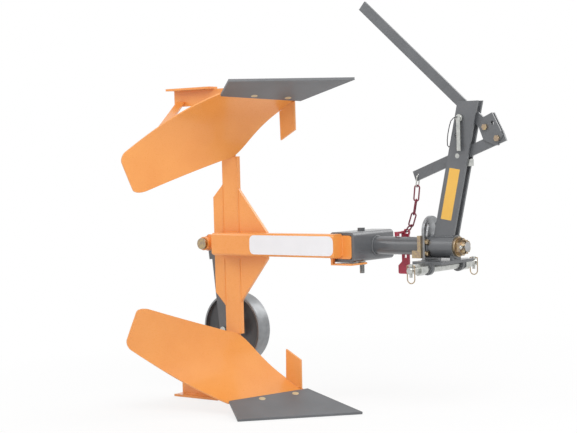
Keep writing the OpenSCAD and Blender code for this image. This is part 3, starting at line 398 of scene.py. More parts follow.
def resample(points: Sequence[Vector], step: float) -> list[Vector]:
    """Spaces points evenly along a path.

    Args:
        points: Corners of the path.
        step: Wanted spacing in the same unit.

    Returns:
        The new points, both ends included.
    """
    lengths = [(b - a).length for a, b in zip(points, points[1:])]
    total = sum(lengths)
    count = max(2, round(total / step))
    result, stretch, start = [], 0, 0.0
    for i in range(count + 1):
        distance = total * i / count
        while stretch < len(lengths) - 1 and distance > start + lengths[stretch]:
            start += lengths[stretch]
            stretch += 1
        share = (distance - start) / max(lengths[stretch], SHORTEST)
        result.append(points[stretch].lerp(points[stretch + 1], min(1.0, share)))
    return result


def sweep(path: Sequence[Vector], radius: Callable[[int], float], sides: int, closed: bool,
          base: int = 0) -> tuple[list[Vector], list[tuple[int, ...]]]:
    """Sweeps a round section along a path.

    Args:
        path: Points of the centre line.
        radius: Gives the radius from the point's number.
        sides: Number of sides of the section.
        closed: True where the path is a loop.
        base: Number of the first point.

    Returns:
        Points and faces.
    """
    count = len(path)
    points: list[Vector] = []
    across = Vector(SECTION_START)
    for i, centre in enumerate(path):
        before = path[i - 1] if i or closed else path[0]
        after = path[(i + 1) % count] if i < count - 1 or closed else path[-1]
        along = (after - before).normalized()
        across = (across - along * across.dot(along)).normalized()
        third = along.cross(across)
        for k in range(sides):
            turn = 2 * math.pi * k / sides
            points.append(centre + radius(i) * (math.cos(turn) * across + math.sin(turn) * third))
    faces: list[tuple[int, ...]] = []
    for i in range(count if closed else count - 1):
        here, following = base + i * sides, base + ((i + 1) % count) * sides
        faces += [(here + k, here + (k + 1) % sides, following + (k + 1) % sides, following + k)
                  for k in range(sides)]
    if not closed:
        faces.append(tuple(base + k for k in reversed(range(sides))))
        faces.append(tuple(base + (count - 1) * sides + k for k in range(sides)))
    return points, faces


class Axis(Enum):
    """The axis that an arc turns about."""

    X = "x"
    Y = "y"

    def shift(self, first: float, second: float) -> Point:
        """Offset by two lengths across this axis."""
        return (0.0, first, second) if self is Axis.X else (first, 0.0, second)


def ring(centre: Point, radius: float, axis: Axis, start: float = 0.0, stop: float = 360.0) -> list[Point]:
    """Points on an arc.

    Args:
        centre: Middle of the arc.
        radius: Its radius.
        axis: The axis it turns about.
        start: First angle in degrees.
        stop: Last angle in degrees.

    Returns:
        The points; a full turn leaves out the last one.
    """
    whole = stop - start >= 360
    steps = max(ARC_STEPS_MIN, round(abs(stop - start) / ARC_STEP))
    result = []
    for i in range(steps if whole else steps + 1):
        angle = math.radians(start + (stop - start) * i / steps)
        shift = axis.shift(radius * math.cos(angle), radius * math.sin(angle))
        result.append(tuple(c + s for c, s in zip(centre, shift)))
    return result


@dataclass(frozen=True)
class Seam:
    """One fillet weld: its line, its radius and whether it closes on itself."""

    line: Sequence[Point]
    size: float
    closed: bool = False


def weld(name: str, seams: Sequence[Seam], finish: Finish, body: str) -> None:
    """Lays the fillet welds of one part as one piece with the ripples of the weld pool.

    Args:
        name: Name of the piece.
        seams: The welds.
        finish: Finish of the part around them.
        body: Body that they ride on.
    """
    points: list[Vector] = []
    faces: list[tuple[int, ...]] = []
    for number, seam in enumerate(seams):
        line = [Vector(p) for p in seam.line]
        if seam.closed:
            line.append(line[0])
        path = resample(line, RIPPLE / RIPPLE_POINTS)
        if seam.closed:
            path = path[:-1]

        def radius(i: int, n: int = number, size: float = seam.size) -> float:
            """Radius with its ripples and a slow wander."""
            wave = 1 + RIPPLE_HEIGHT * math.sin(2 * math.pi * i / RIPPLE_POINTS + RIPPLE_PHASE)
            return size * (wave + WANDER_HEIGHT * math.sin(i * WANDER_TURN + n))

        made, quads = sweep(path, radius, WELD_SIDES, seam.closed, len(points))
        points += made
        faces += quads
    piece(name, [place(p) for p in points], faces, finish, body, WELD_CREASE)


def sticker(name: str, corners: Sequence[Point], rounding: float, finish: Finish, body: str) -> None:
    """Makes a thin rounded sticker on a near face, from its four corners.

    Args:
        name: Name of the piece.
        corners: Four corners in order.
        rounding: Length of side that each corner's curve takes.
        finish: Its finish.
        body: Body that it rides on.
    """
    outline: list[Vector] = []
    count = len(corners)
    for i in range(count):
        here, last, following = (Vector(corners[j % count]) for j in (i, i - 1, i + 1))
        enter = here + (last - here).normalized() * rounding
        leave = here + (following - here).normalized() * rounding
        for k in range(CORNER_STEPS + 1):
            t = k / CORNER_STEPS
            outline.append(enter * (1 - t) ** 2 + here * (2 * t * (1 - t)) + leave * t * t)
    normal = Vector(NEAR_SIDE)
    n = len(outline)
    middle = sum(outline, Vector()) / n
    points = []
    for height, inset in STICKER_LEVELS:
        points += [place(p + normal * height + (middle - p).normalized() * inset) for p in outline]
    top = len(points) - n
    faces = [tuple(range(top, top + n)), tuple(reversed(range(n)))]
    for a in range(0, top, n):
        faces += [(a + i, a + (i + 1) % n, a + n + (i + 1) % n, a + n + i) for i in range(n)]
    piece(name, points, faces, finish, body, STICKER_CREASE)


@dataclass
class Headstock:
    """Three-point headstock: mast, sleeve, slotted plate, base plate and hitch pins.

    Attributes:
        nodes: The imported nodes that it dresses.
        sleeve_r, sleeve_x: Radius and ends of the sleeve.
        rear_proud, front_proud, front_in: How far its welds stand off it, and the front one's inset.
        mast_out, mast_half: Half the mast's thickness and half its width.
        mast_proud: How far the mast's welds stand out from it and up from the sleeve.
        mast_foot, lean: Middle of the mast on the turning axis, and its lean in degrees.
        rear_arcs, front_arc: Welds of the sleeve's ends, in degrees round it.
        plate_x, plate_half, base_z: Welds of the slotted plate on the base plate.
        ear_y, ear_x, ear_run, ear_z: Short welds over the two faces of an ear.
        hitch_z, bar_end, collar: Height of the hitch bar, and place and radius of its end welds.
        bar_arc, handle_arc: Degrees that the bar's and the handle's welds go round.
        carrier_x, carrier_y, carrier_z: Welds of the latch carrier.
        pin_z, pin_behind, handle_y, handle_r: Top link pin and the weld of its handle.
        clip_middle, clip_r: Ring of the spring clip, from the pin's middle.
        cord_route, cord_r: Corners of the cord, from the pin's middle, and its radius.
        strip, strip_rounding: Corners of the yellow strip and how far they are rounded.
        mast_bead, rear_bead, front_bead, plate_bead, ear_bead: Radius of each of these welds.
        bar_bead, collar_bead, carrier_bead, handle_bead: Radius of each of these welds.
    """

    nodes: tuple[str, ...] = (
        "mast_plate_near", "mast_plate_far", "mast_spacers", "headstock_sleeve", "sleeve_bushes",
        "headstock_plate", "base_plate", "hitch_ears", "hitch_bar", "lower_link_pins", "lynch_pins",
        "lynch_ring_near", "lynch_ring_far", "top_link_pin", "top_link_clip", "lock_plate", "lock_bolts",
        "latch_carrier", "latch_bolts")
    sleeve_r: float = 38.0
    sleeve_x: Pair = (-40.0, 56.0)
    rear_proud: float = 0.6
    front_proud: float = 0.4
    front_in: float = 3.6
    mast_out: float = 18.0
    mast_half: float = 38.0
    mast_proud: Pair = (1.0, 0.5)
    mast_foot: float = 6.7
    lean: float = 13.0
    rear_arcs: tuple[Pair, ...] = ((-58, 38), (142, 238))
    front_arc: Pair = (227, 313)
    plate_x: Pair = (-39.4, -50.6)
    plate_half: float = 49.0
    base_z: float = -43.6
    ear_y: Pair = (86.6, 99.2)
    ear_x: Pair = (-21.0, 15.0)
    ear_run: float = 5.0
    ear_z: float = -54.4
    hitch_z: float = -66.0
    bar_end: Pair = (99.4, 14.6)
    collar: Pair = (117.4, 14.4)
    bar_arc: Pair = (-175, -5)
    handle_arc: Pair = (0, 180)
    carrier_x: float = -63.6
    carrier_y: Pair = (41.6, 53.4)
    carrier_z: Pair = (-26.0, 24.0)
    pin_z: float = 418.0
    pin_behind: float = 16.5
    handle_y: float = -27.2
    handle_r: float = 8.5
    clip_middle: Point = (-3.2, 31.0, 22.0)
    clip_r: float = 10.0
    cord_route: tuple[Point, ...] = (
        (-4, -32.6, 4), (-13, -36, 1), (-22, -38, -8), (-30, -36, -26), (-38, -32, -48), (-45, -26, -70),
        (-51, -16, -86), (-54, -4, -92), (-54, 8, -88), (-52, 20, -74), (-46, 30, -54), (-38, 35, -34),
        (-28, 38, -14), (-17, 38, 4))
    cord_r: float = 1.5
    strip: tuple[Point, ...] = ((43.4, -18, 257.9), (82.3, -18, 251.5), (44.8, -18, 85.6), (5.5, -18, 92.0))
    strip_rounding: float = 2.0
    mast_bead: float = 3.2
    rear_bead: float = 3.0
    front_bead: float = 2.2
    plate_bead: float = 2.6
    ear_bead: float = 2.2
    bar_bead: float = 2.0
    collar_bead: float = 1.8
    carrier_bead: float = 2.4
    handle_bead: float = 1.4

    def mast_x(self, z: float) -> float:
        """Middle of the mast at a height."""
        return self.mast_foot + z * math.tan(math.radians(self.lean))

    def seams(self) -> list[Seam]:
        """Lays out the welds of the headstock.

        Returns:
            The welds.
        """
        z = math.sqrt(self.sleeve_r ** 2 - self.mast_out ** 2)
        ends = (self.mast_x(z) - self.mast_half, self.mast_x(z) + self.mast_half)
        beside, up = self.mast_out + self.mast_proud[0], z + self.mast_proud[1]
        result = [Seam([(x, side * beside, up) for x in ends], self.mast_bead) for side in (-1, 1)]
        rear, rear_r = self.sleeve_x[0] + self.rear_proud, self.sleeve_r + self.rear_proud
        result += [Seam(ring((rear, 0, 0), rear_r, Axis.X, *arc), self.rear_bead) for arc in self.rear_arcs]
        front, front_r = self.sleeve_x[1] - self.front_in, self.sleeve_r + self.front_proud
        result.append(Seam(ring((front, 0, 0), front_r, Axis.X, *self.front_arc), self.front_bead))
        result += [Seam([(x, side * self.plate_half, self.base_z) for side in (-1, 1)], self.plate_bead)
                   for x in self.plate_x]
        for side in (-1, 1):
            result += [Seam([(x + run, side * y, self.ear_z) for run in (0, self.ear_run)], self.ear_bead)
                       for y in self.ear_y for x in self.ear_x]
            end_y, end_r = self.bar_end
            bar = ring((0, side * end_y, self.hitch_z), end_r, Axis.Y, *self.bar_arc)
            result.append(Seam(bar, self.bar_bead))
            collar_y, collar_r = self.collar
            collar = ring((0, side * collar_y, self.hitch_z), collar_r, Axis.Y)
            result.append(Seam(collar, self.collar_bead, True))
        return result

    def build(self) -> None:
        """Dresses the headstock and adds its welds, strip and cord."""
        SHOP.dress(self.nodes)
        weld("headstock_welds", self.seams(), DARK_GREY, "headstock")
        carrier = [Seam([(self.carrier_x, y, z) for z in self.carrier_z], self.carrier_bead)
                   for y in self.carrier_y]
        weld("latch_carrier_weld", carrier, DARK_GREY, "headstock")
        x = self.mast_x(self.pin_z) - self.pin_behind
        handle = ring((x, self.handle_y, self.pin_z), self.handle_r, Axis.Y, *self.handle_arc)
        weld("pin_handle_weld", [Seam(handle, self.handle_bead)], ZINC, "headstock")
        sticker("blank_mast_strip", self.strip, self.strip_rounding, STRIP_VINYL, "headstock")
        self.tether(x)

    def tether(self, x: float) -> None:
        """Lays the cord from the pin's handle round the rear of the mast to the clip.

        Args:
            x: Place of the top link pin along the plough.
        """
        slant = self.clip_r / math.sqrt(2)
        end = (self.clip_middle[0], self.clip_middle[1] + slant, self.clip_middle[2] - slant)
        path = [Vector((x + p[0], p[1], self.pin_z + p[2])) for p in (*self.cord_route, end)]
        points, faces = sweep(path, lambda i: self.cord_r, CORD_SIDES, False)
        cord = piece("pin_tether", [place(p) for p in points], faces, CORD_BLACK, "headstock",
                     CORD_CREASE)
        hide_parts("tether")


@dataclass
class TurningUnit:
    """Turning tube with its spindle, cross socket, castle nut and clamp bolt.

    Attributes:
        nodes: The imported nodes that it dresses.
        tube_r, tube_rear: Radius and rear end of the tube.
        tube_proud: How far its weld stands along from that end and out from the tube.
        tube_bead, lug_bead: Radius of the welds of tube and lug.
        lug_x, lug_edges: Ends of the stop lug, and Y and Z of its two welded edges.
        clamp_end: Lower end of the clamp bolt's thread.
        clamp_r, thread_len, pitch: The clamp bolt's radius, threaded length and pitch.
    """

    nodes: tuple[str, ...] = ("spindle_shaft", "spindle_tube", "cross_socket", "spindle_washer", "castle_nut",
                              "cotter_pin", "clamp_bolt", "clamp_nut")
    tube_r: float = 30.15
    tube_rear: float = -263.0
    tube_proud: Pair = (1.2, 1.0)
    tube_bead: float = 3.4
    lug_bead: float = 1.8
    lug_x: Pair = (-83.0, -65.0)
    lug_edges: tuple[Pair, ...] = ((27.2, -11.2), (29.6, 9.6))
    clamp_end: Point = (-313.0, -20.0, -94.6)
    clamp_r: float = 8.0
    thread_len: float = 27.0
    pitch: float = 2.0

    def thread(self) -> None:
        """Winds the ridge of the screw thread round the clamp bolt's plain end."""
        x, y, z = self.clamp_end
        steps = int(self.thread_len / self.pitch) * THREAD_STEPS
        points = []
        for i in range(steps + 1):
            angle = 2 * math.pi * i / THREAD_STEPS
            fade = min(1.0, i / THREAD_STEPS, (steps - i) / THREAD_STEPS)
            for along, out in THREAD_SECTION:
                reach = self.clamp_r + out * 0.5 * self.pitch * fade
                up = (i / THREAD_STEPS + 0.5 + along) * self.pitch
                points.append(place((x + reach * math.cos(angle), y + reach * math.sin(angle), z + up)))
        faces: list[tuple[int, ...]] = []
        wide = len(THREAD_SECTION)
        for a in range(0, steps * wide, wide):
            faces += [(a + k, a + (k + 1) % wide, a + wide + (k + 1) % wide, a + wide + k)
                      for k in range(wide)]
        faces += [tuple(reversed(range(wide))), tuple(range(len(points) - wide, len(points)))]
        piece("clamp_bolt_thread", points, faces, ZINC, "turning_unit", THREAD_CREASE)

    def build(self) -> None:
        """Dresses the unit and adds its welds and the bolt's thread."""
        SHOP.dress(self.nodes)
        rear, radius = self.tube_rear + self.tube_proud[0], self.tube_r + self.tube_proud[1]
        seams = [Seam(ring((rear, 0, 0), radius, Axis.X), self.tube_bead, True)]
        seams += [Seam([(x, y, z) for x in self.lug_x], self.lug_bead) for y, z in self.lug_edges]
        weld("turning_tube_welds", seams, DARK_GREY, "turning_unit")
        self.thread()


@dataclass
class PloughFrame:
    """Beam, cross bar, leg, gussets and wheel pivot boss.

    Attributes:
        nodes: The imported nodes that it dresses.
        near_y, inner_y: Near face and inner face of the beam.
        proud: How far the welds on the inner face stand off it.
        beam_from, beam_edges: Front end and heights of the welds along the beam's inner face.
        leg_x: Rear and front edge of the leg.
        gusset_t, near_from, far_from: A gusset's thickness, and where its two welds start off the axis.
        front_to, rear_to: Where the welds of the front and the rear gussets end off the axis.
        boss, boss_r: X and Z of the wheel pivot boss, and its radius.
        boss_faces, boss_arc: Places of its two welds from the inner face, and their ends in degrees.
        beam_bead, front_bead, rear_bead, far_bead, boss_bead: Radius of each of these welds.
        runs: Ends and radius of the welds of cross bar and guide plate, with Y from the inner face.
        label, label_rounding: Rear, front, bottom and top of the label, and how far it is rounded.
    """

    nodes: tuple[str, ...] = ("cross_bar", "beam_tube", "guide_plate", "leg_bar", "leg_gussets", "pivot_boss",
                              "wheel_pivot_pin", "sole_plates", "mouldboard_stays", "edge_fins")
    near_y: float = -186.0
    inner_y: float = -136.0
    proud: float = 0.2
    beam_from: float = -636.0
    beam_edges: Pair = (43.5, -31.5)
    leg_x: Pair = (-831.0, -760.0)
    gusset_t: float = 12.4
    near_from: float = 48.0
    far_from: float = 4.0
    front_to: float = 199.0
    rear_to: float = 214.0
    boss: Pair = (-907.0, 5.0)
    boss_r: float = 24.8
    boss_faces: Pair = (12.6, -0.4)
    boss_arc: Pair = (90, 270)
    beam_bead: float = 2.8
    front_bead: float = 2.6
    rear_bead: float = 2.4
    far_bead: float = 2.2
    boss_bead: float = 2.4
    runs: tuple[tuple[Point, Point, float], ...] = (
        ((-353.4, 0.6, -33), (-353.4, 0.6, 36), 2.6), ((-352, -0.2, 39.6), (-312, -0.2, 39.6), 2.4),
        ((-310, 0.2, -28), (-310, 0.2, 36), 2.2), ((-341, -13, -34.4), (-341, -2, -34.4), 2.0))
    label: tuple[float, ...] = (-672.0, -312.0, -27.0, 39.5)
    label_rounding: float = 22.0

    def seams(self) -> list[Seam]:
        """Lays out the welds of the frame.

        Returns:
            The welds.
        """
        y, (rear, front) = self.inner_y, self.leg_x
        near, far, beside = y - self.proud, y + self.gusset_t, y + self.proud
        result = [Seam([(x, beside, z) for x in (self.beam_from, rear)], self.beam_bead)
                  for z in self.beam_edges]
        edges = ((front, self.front_to, self.front_bead), (rear, self.rear_to, self.rear_bead))
        for side in (-1, 1):
            for x, stop, bead in edges:
                result += [Seam([(x, near, side * z) for z in (self.near_from, stop)], bead),
                           Seam([(x, far, side * z) for z in (self.far_from, stop)], self.far_bead)]
        boss_x, boss_z = self.boss
        result += [Seam(ring((boss_x, y + face, boss_z), self.boss_r, Axis.Y, *self.boss_arc), self.boss_bead)
                   for face in self.boss_faces]
        result += [Seam([(p[0], y + p[1], p[2]) for p in ends], size) for *ends, size in self.runs]
        return result

    def build(self) -> None:
        """Dresses the frame and adds its welds and the blank label."""
        SHOP.dress(self.nodes)
        SHOP.dress(("share_bolts",), SHARE_BOLT)
        weld("frame_welds", self.seams(), ORANGE, "plough_frame")
        x0, x1, z0, z1 = self.label
        corners = [(x, self.near_y, z) for x, z in ((x0, z0), (x1, z0), (x1, z1), (x0, z1))]
        sticker("blank_beam_label", corners, self.label_rounding, LABEL_VINYL, "plough_frame")


@dataclass(frozen=True)
class MouldShape:
    """Shape of the mouldboard: level straight lines whose angle and place change with height.

    Attributes:
        lead_y, lead_h, lead_start: Sideways place, height and X where the leading line starts.
        lead_reach, lead_fade: How far back the leading line bends, and over what height.
        angle_low, angle_gain, angle_fade: Angle of the lines at the foot, its gain and over what height.
        foot, sole_z, thickness: Height of the foot over the sole, height of the sole, plate thickness.
        front: Height and sideways place of the four points of the front edge's curve.
        top, low, tail: Height and sideways place of the outline's other corners.
        front_share: Share of the length that the front edge's curve takes.
        corner_along, corner_inset: Where the tail's corners start to round, and by how much.
        belly: How far the low edge bows.
    """

    lead_y: float = -78.0
    lead_h: float = 64.0
    lead_start: float = -531.0
    lead_reach: float = 257.0
    lead_fade: float = 107.0
    angle_low: float = 52.7
    angle_gain: float = 31.8
    angle_fade: float = 330.0
    foot: float = 42.0
    sole_z: float = -568.0
    thickness: float = 6.0
    front: tuple[Pair, ...] = ((64, -76), (130, -84), (262, -104), (264, -170))
    top: Pair = (380, -503)
    low: Pair = (44, -328)
    tail: Pair = (246, -543)
    front_share: float = 0.42
    corner_along: float = 0.92
    corner_inset: float = 0.16
    belly: float = 14.0

    def point(self, height: float, y: float) -> Vector:
        """Finds a point of the front surface.

        Args:
            height: Height over the sole.
            y: Sideways place.

        Returns:
            The point.
        """
        angle = self.angle_low + self.angle_gain * (1 - math.exp(-(height - self.foot) / self.angle_fade))
        lead = self.lead_start - self.lead_reach * (1 - math.exp(-(height - self.lead_h) / self.lead_fade))
        return Vector((lead - (self.lead_y - y) / math.tan(math.radians(angle)), y, self.sole_z + height))

    def back(self, height: float, y: float) -> Vector:
        """Finds the direction through the plate.

        Args:
            height: Height over the sole.
            y: Sideways place.

        Returns:
            Unit direction from the front surface to the back.
        """
        up = self.point(height + SLOPE_REACH, y) - self.point(height - SLOPE_REACH, y)
        side = self.point(height, y + SLOPE_REACH) - self.point(height, y - SLOPE_REACH)
        return up.cross(side).normalized()

    def spot(self, row: float, column: float) -> Pair:
        """Height and sideways place of a grid point.

        Args:
            row: Share of the way from the share to the tail.
            column: Share of the way from the low edge to the top edge.

        Returns:
            Height over the sole and sideways place.
        """
        along = math.sin(math.pi / 2 * row)
        inset = 0.0
        if along >= self.corner_along:
            part = (along - self.corner_along) / (1 - self.corner_along)
            inset = self.corner_inset * (1 - math.sqrt(max(0.0, 1 - part * part)))
        up = inset + (1 - 2 * inset) * column
        low = [a + (b - a) * along for a, b in zip(self.low, self.tail)]
        low[1] += self.belly * math.sin(math.pi * along)
        if along < self.front_share:
            t = along / self.front_share
            weights = ((1 - t) ** 3, 3 * (1 - t) ** 2 * t, 3 * (1 - t) * t * t, t ** 3)
            high = [sum(w * p[i] for w, p in zip(weights, self.front)) for i in (0, 1)]
        else:
            t = (along - self.front_share) / (1 - self.front_share)
            high = [a + (b - a) * t for a, b in zip(self.front[3], self.top)]
        return (low[0] * (1 - up) + high[0] * up, low[1] * (1 - up) + high[1] * up)


class Side(Enum):
    """Which of the two mirrored bodies."""

    LOWER = 1
    UPPER = -1


@dataclass
class PloughBody:
    """One body: share, mouldboard, landside and frog. The upper one is the lower one mirrored.

    Attributes:
        side: Which of the two bodies.
        shape: Shape of its mouldboard.
        rows, columns: Faces along and across the mouldboard.
        fin_y, fin_t, fin_heights: Face and thickness of the edge fin, and first, last and step of its weld.
        fin_proud, bead: How far that weld stands off the mouldboard, and radius of all its welds.
        runs: Ends of the welds of sole plate, frog, leg and stay, with Z from the sole.
    """

    side: Side
    shape: MouldShape = field(default_factory=MouldShape)
    rows: int = 96
    columns: int = 44
    fin_y: float = -84.0
    fin_t: float = 8.0
    fin_heights: tuple[int, int, int] = (70, 102, 4)
    fin_proud: Point = (0.8, 0, 0)
    bead: float = 2.2
    runs: tuple[tuple[Point, Point], ...] = (
        ((-1098, -82.2, 8.3), (-907, -82.2, 8.3)), ((-1098, -71.8, 8.3), (-907, -71.8, 8.3)),
        ((-779, -108.6, 50.2), (-672, -108.6, 50.2)), ((-779, -82.4, 50.2), (-672, -82.4, 50.2)),
        ((-831, -120.8, 70), (-831, -120.8, 190)), ((-1070, -82.6, 50), (-1052, -82.6, 62)))

    def flip(self, p: Vector) -> Vector:
        """Mirrors a point of the lower body to this one."""
        return Vector((p.x, p.y, p.z * self.side.value))

    def skin(self) -> None:
        """Makes the smooth mouldboard, a bent plate of one thickness."""
        rows, columns, shape = self.rows, self.columns, self.shape
        spots = [shape.spot(i / rows, j / columns) for i in range(rows + 1) for j in range(columns + 1)]
        depths = (0.0, shape.thickness)
        points = [self.flip(shape.point(h, y) + shape.back(h, y) * d) for d in depths for h, y in spots]
        wide, n = columns + 1, len(spots)
        cells = [i * wide + j for i in range(rows) for j in range(columns)]
        faces = [(a, a + wide, a + wide + 1, a + 1) for a in cells]
        faces += [(n + a, n + a + 1, n + a + wide + 1, n + a + wide) for a in cells]
        rim = list(range(columns)) + [i * wide + columns for i in range(rows)]
        rim += [rows * wide + j for j in range(columns, 0, -1)] + [i * wide for i in range(rows, 0, -1)]
        faces += [(a, b, n + b, n + a) for a, b in zip(rim, rim[1:] + rim[:1])]
        if self.side is Side.UPPER:
            faces = [tuple(reversed(f)) for f in faces]
        name = f"mouldboard_{self.side.name.lower()}"
        points = [place(p) for p in points]
        made = piece(f"{name}_skin", points, faces, ORANGE, "plough_frame", SKIN_CREASE)
        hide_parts(name)

    def seams(self) -> list[Seam]:
        """Lays out the welds of the body.

        Returns:
            The welds.
        """
        shape, z = self.shape, self.shape.sole_z
        result = [[tuple(shape.point(h, y) + Vector(self.fin_proud)) for h in range(*self.fin_heights)]
                  for y in (self.fin_y, self.fin_y + self.fin_t)]
        result += [[(x, y, z + up) for x, y, up in run] for run in self.runs]
        return [Seam([tuple(self.flip(Vector(p))) for p in line], self.bead) for line in result]

    def build(self) -> None:
        """Dresses the body and adds its skin and welds."""
        which = self.side.name.lower()
        SHOP.dress([f"{part}_{which}" for part in ("share", "landside", "frog", "mouldboard")])
        self.skin()
        weld(f"body_welds_{which}", self.seams(), ORANGE, "plough_frame")


@dataclass
class DepthWheel:
    """Swinging arm and the steel depth wheel on its end.

    Attributes:
        nodes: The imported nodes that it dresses.
        pivot: X and Z of the arm's pivot.
        arm_len, lean: Length of the arm, and its forward lean in degrees.
        wheel_y: Middle of the hub.
        welds: Place from the hub's middle and radius of the hub's two welds and the rim's two.
        bead: Thickness of these welds, as a radius.
    """

    nodes: tuple[str, ...] = ("wheel_arm", "wheel_axle", "wheel_hub", "wheel_disc", "wheel_tread")
    pivot: Pair = (-907.0, 5.0)
    arm_len: float = 317.0
    lean: float = 6.2
    wheel_y: float = -60.0
    welds: tuple[Pair, ...] = ((21.4, 25.0), (28.8, 25.0), (13.0, 120.8), (21.0, 120.8))
    bead: float = 1.8

    def build(self) -> None:
        """Dresses the wheel and adds its welds."""
        SHOP.dress(self.nodes)
        lean = math.radians(self.lean)
        x = self.pivot[0] + self.arm_len * math.sin(lean)
        z = self.pivot[1] - self.arm_len * math.cos(lean)
        seams = [Seam(ring((x, self.wheel_y + y, z), radius, Axis.Y), self.bead, True)
                 for y, radius in self.welds]
        weld("wheel_welds", seams, WHEEL_GREY, "depth_wheel")


@dataclass
class LeverAndLatch:
    """Hand lever, its chain and the red latch.

    Attributes:
        nodes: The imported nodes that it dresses.
        finger_x, finger_y: Ends and sideways place of the welds of the latch's finger.
        finger_welds: Height and radius of the weld below the finger and of the one above it.
    """

    nodes: tuple[str, ...] = ("lever_handle", "lever_arm", "lever_brackets", "lever_bolts", "chain_hook",
                              "chain_links", "chain_shackle", "latch_plate")
    finger_x: Pair = (-184.6, -175.4)
    finger_y: float = 33.4
    finger_welds: tuple[Pair, ...] = ((39.4, 1.6), (46.0, 1.4))

    def build(self) -> None:
        """Dresses the lever, chain and latch and welds the finger."""
        SHOP.dress(self.nodes)
        seams = [Seam([(x, self.finger_y, z) for x in self.finger_x], size) for z, size in self.finger_welds]
        weld("latch_finger_weld", seams, LATCH_RED, "latch")


@dataclass(frozen=True)
class Lamp:
    """One square soft lamp: its name, place, side and power in watts."""

    name: str
    spot_m: Point
    side_m: float
    power: float

    def build(self, aim_m: Point) -> None:
        """Hangs the lamp.

        Args:
            aim_m: The point that it faces.
        """
        data = bpy.data.lights.new(self.name, "AREA")
        data.shape = "SQUARE"
        data.size = self.side_m
        data.energy = self.power
        made = stand(self.name, data)
        made.location = self.spot_m
        made.rotation_mode = "QUATERNION"
        made.rotation_quaternion = (Vector(aim_m) - Vector(self.spot_m)).to_track_quat("-Z", "Y")


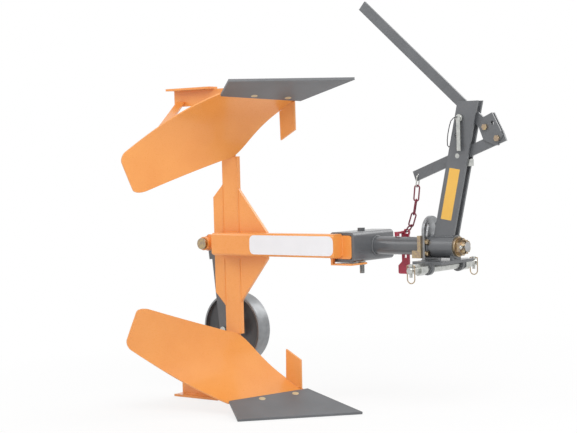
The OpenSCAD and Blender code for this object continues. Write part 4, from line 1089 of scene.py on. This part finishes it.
@dataclass
class Studio:
    """White sheet, soft lamps and the camera of the photograph.

    Attributes:
        azimuth, elevation, roll: Direction of the view in degrees.
        focal_px, width_px, sensor_mm: Focal length, and width of picture and sensor.
        eye_m, clip_m: Place of the camera, and its nearest and farthest depth.
        floor_z_m, half_m, sheet_colour: Height, half side and colour of the sheet.
        white_m, white_near: Distances over which the sheet turns plain white, and its share up close.
        light, seen_white: Strength of the surroundings as light, and as they are seen.
        aim_m, lamps: The point that the lamps face, and the lamps.
    """

    azimuth: float = 38.2
    elevation: float = 2.22
    roll: float = -1.46
    focal_px: float = 1468.0
    width_px: float = 577.0
    sensor_mm: float = 36.0
    eye_m: Point = (2.583, -4.099, 0.364)
    clip_m: Pair = (0.1, 60.0)
    floor_z_m: float = -0.5035
    half_m: float = 14.0
    white_m: Pair = (1.1, 2.6)
    white_near: float = 0.8
    sheet_colour: str = "#f4f4f4"
    light: float = 0.62
    seen_white: float = 1.0
    aim_m: Point = (-0.45, -0.15, 0.2)
    lamps: tuple[Lamp, ...] = (
        Lamp("key_lamp", (2.2, -2.7, 3.5), 2.6, 118.0), Lamp("left_lamp", (-3.4, -2.8, 2.4), 2.2, 34.0),
        Lamp("rear_lamp", (0.8, 3.0, 2.4), 2.4, 40.0))

    def sheet(self) -> None:
        """Lays the white sheet that the plough stands on."""
        corners = ((-1, -1), (1, -1), (1, 1), (-1, 1))
        points = [(x * self.half_m, y * self.half_m, self.floor_z_m) for x, y in corners]
        mesh = bpy.data.meshes.new("studio_sheet")
        mesh.from_pydata(points, [], [(0, 1, 2, 3)])
        mesh.materials.append(self.sheet_material())
        made = stand("studio_sheet", mesh)

    @staticmethod
    def seen(tree: bpy.types.NodeTree) -> Socket:
        """Tells rays that carry a picture from rays that carry light.

        Args:
            tree: The node tree.

        Returns:
            1 for a camera, glossy or transmission ray, else 0.
        """
        path = add(tree, "LightPath").outputs
        first = add(tree, "Math", None, {0: path["Is Camera Ray"], 1: path["Is Glossy Ray"]},
                    operation="MAXIMUM").outputs["Value"]
        return add(tree, "Math", None, {0: first, 1: path["Is Transmission Ray"]},
                   operation="MAXIMUM").outputs["Value"]

    def sheet_material(self) -> Material:
        """Makes the sheet's white, which keeps a part of the shadow up close.

        Returns:
            The material.
        """
        material = bpy.data.materials.new("white_studio_sheet")
        tree = cleared(material)
        where = add(tree, "TexCoord").outputs["Object"]
        away = add(tree, "VectorMath", None, {0: where}, operation="LENGTH").outputs["Value"]
        plain = add(tree, "MapRange", {"From Min": self.white_m[0], "From Max": self.white_m[1],
                    "To Min": self.white_near}, {"Value": away}).outputs["Result"]
        share = add(tree, "Math", None, {0: self.seen(tree), 1: plain},
                    operation="MULTIPLY").outputs["Value"]
        lit = add(tree, "BsdfDiffuse", {"Color": linear(self.sheet_colour)}).outputs["BSDF"]
        white = add(tree, "Emission", {"Color": (1, 1, 1, 1), "Strength": 1.0}).outputs["Emission"]
        mixed = add(tree, "MixShader", None, {0: share, 1: lit, 2: white}).outputs["Shader"]
        add(tree, "OutputMaterial", None, {"Surface": mixed})
        return material

    def world(self) -> None:
        """Sets white surroundings for the eye and even light for the object."""
        world = bpy.data.worlds.new("studio_world")
        bpy.context.scene.world = world
        tree = cleared(world)
        light, white = (add(tree, "Background", {"Color": (1, 1, 1, 1), "Strength": strength})
                        for strength in (self.light, self.seen_white))
        mixed = add(tree, "MixShader", None, {0: self.seen(tree), 1: light.outputs["Background"],
                    2: white.outputs["Background"]}).outputs["Shader"]
        add(tree, "OutputWorld", None, {"Surface": mixed})

    def camera(self) -> None:
        """Sets the camera where the photograph was taken from."""
        azimuth, elevation, roll = (math.radians(v) for v in (self.azimuth, self.elevation, self.roll))
        ahead = Vector((-math.sin(azimuth) * math.cos(elevation), math.cos(azimuth) * math.cos(elevation),
                        -math.sin(elevation)))
        level = Vector((math.cos(azimuth), math.sin(azimuth), 0))
        up = level.cross(ahead)
        right = level * math.cos(roll) + up * math.sin(roll)
        top = up * math.cos(roll) - level * math.sin(roll)
        data = bpy.data.cameras.new("photo_camera")
        data.sensor_width = self.sensor_mm
        data.lens = self.focal_px / self.width_px * self.sensor_mm
        data.clip_start, data.clip_end = self.clip_m
        made = stand("photo_camera", data)
        turned = Matrix((right, top, -ahead)).transposed()
        made.matrix_world = Matrix.Translation(Vector(self.eye_m)) @ turned.to_4x4()
        bpy.context.scene.camera = made

    def build(self) -> None:
        """Sets up camera, sheet, surroundings and lamps."""
        self.camera()
        self.sheet()
        self.world()
        for lamp in self.lamps:
            lamp.build(self.aim_m)
        bpy.context.scene.view_settings.view_transform = "Standard"


def main() -> None:
    """Builds the sub-assemblies in order."""
    logging.basicConfig(level=logging.INFO, format="%(name)s: %(message)s")
    Studio().build()
    parts = [Headstock(), TurningUnit(), PloughFrame(), PloughBody(Side.LOWER), PloughBody(Side.UPPER),
             DepthWheel(), LeverAndLatch()]
    for part in parts:
        part.build()
        LOG.info("built %s", type(part).__name__)
    bpy.context.view_layer.update()


if __name__ == "__main__":
    main()
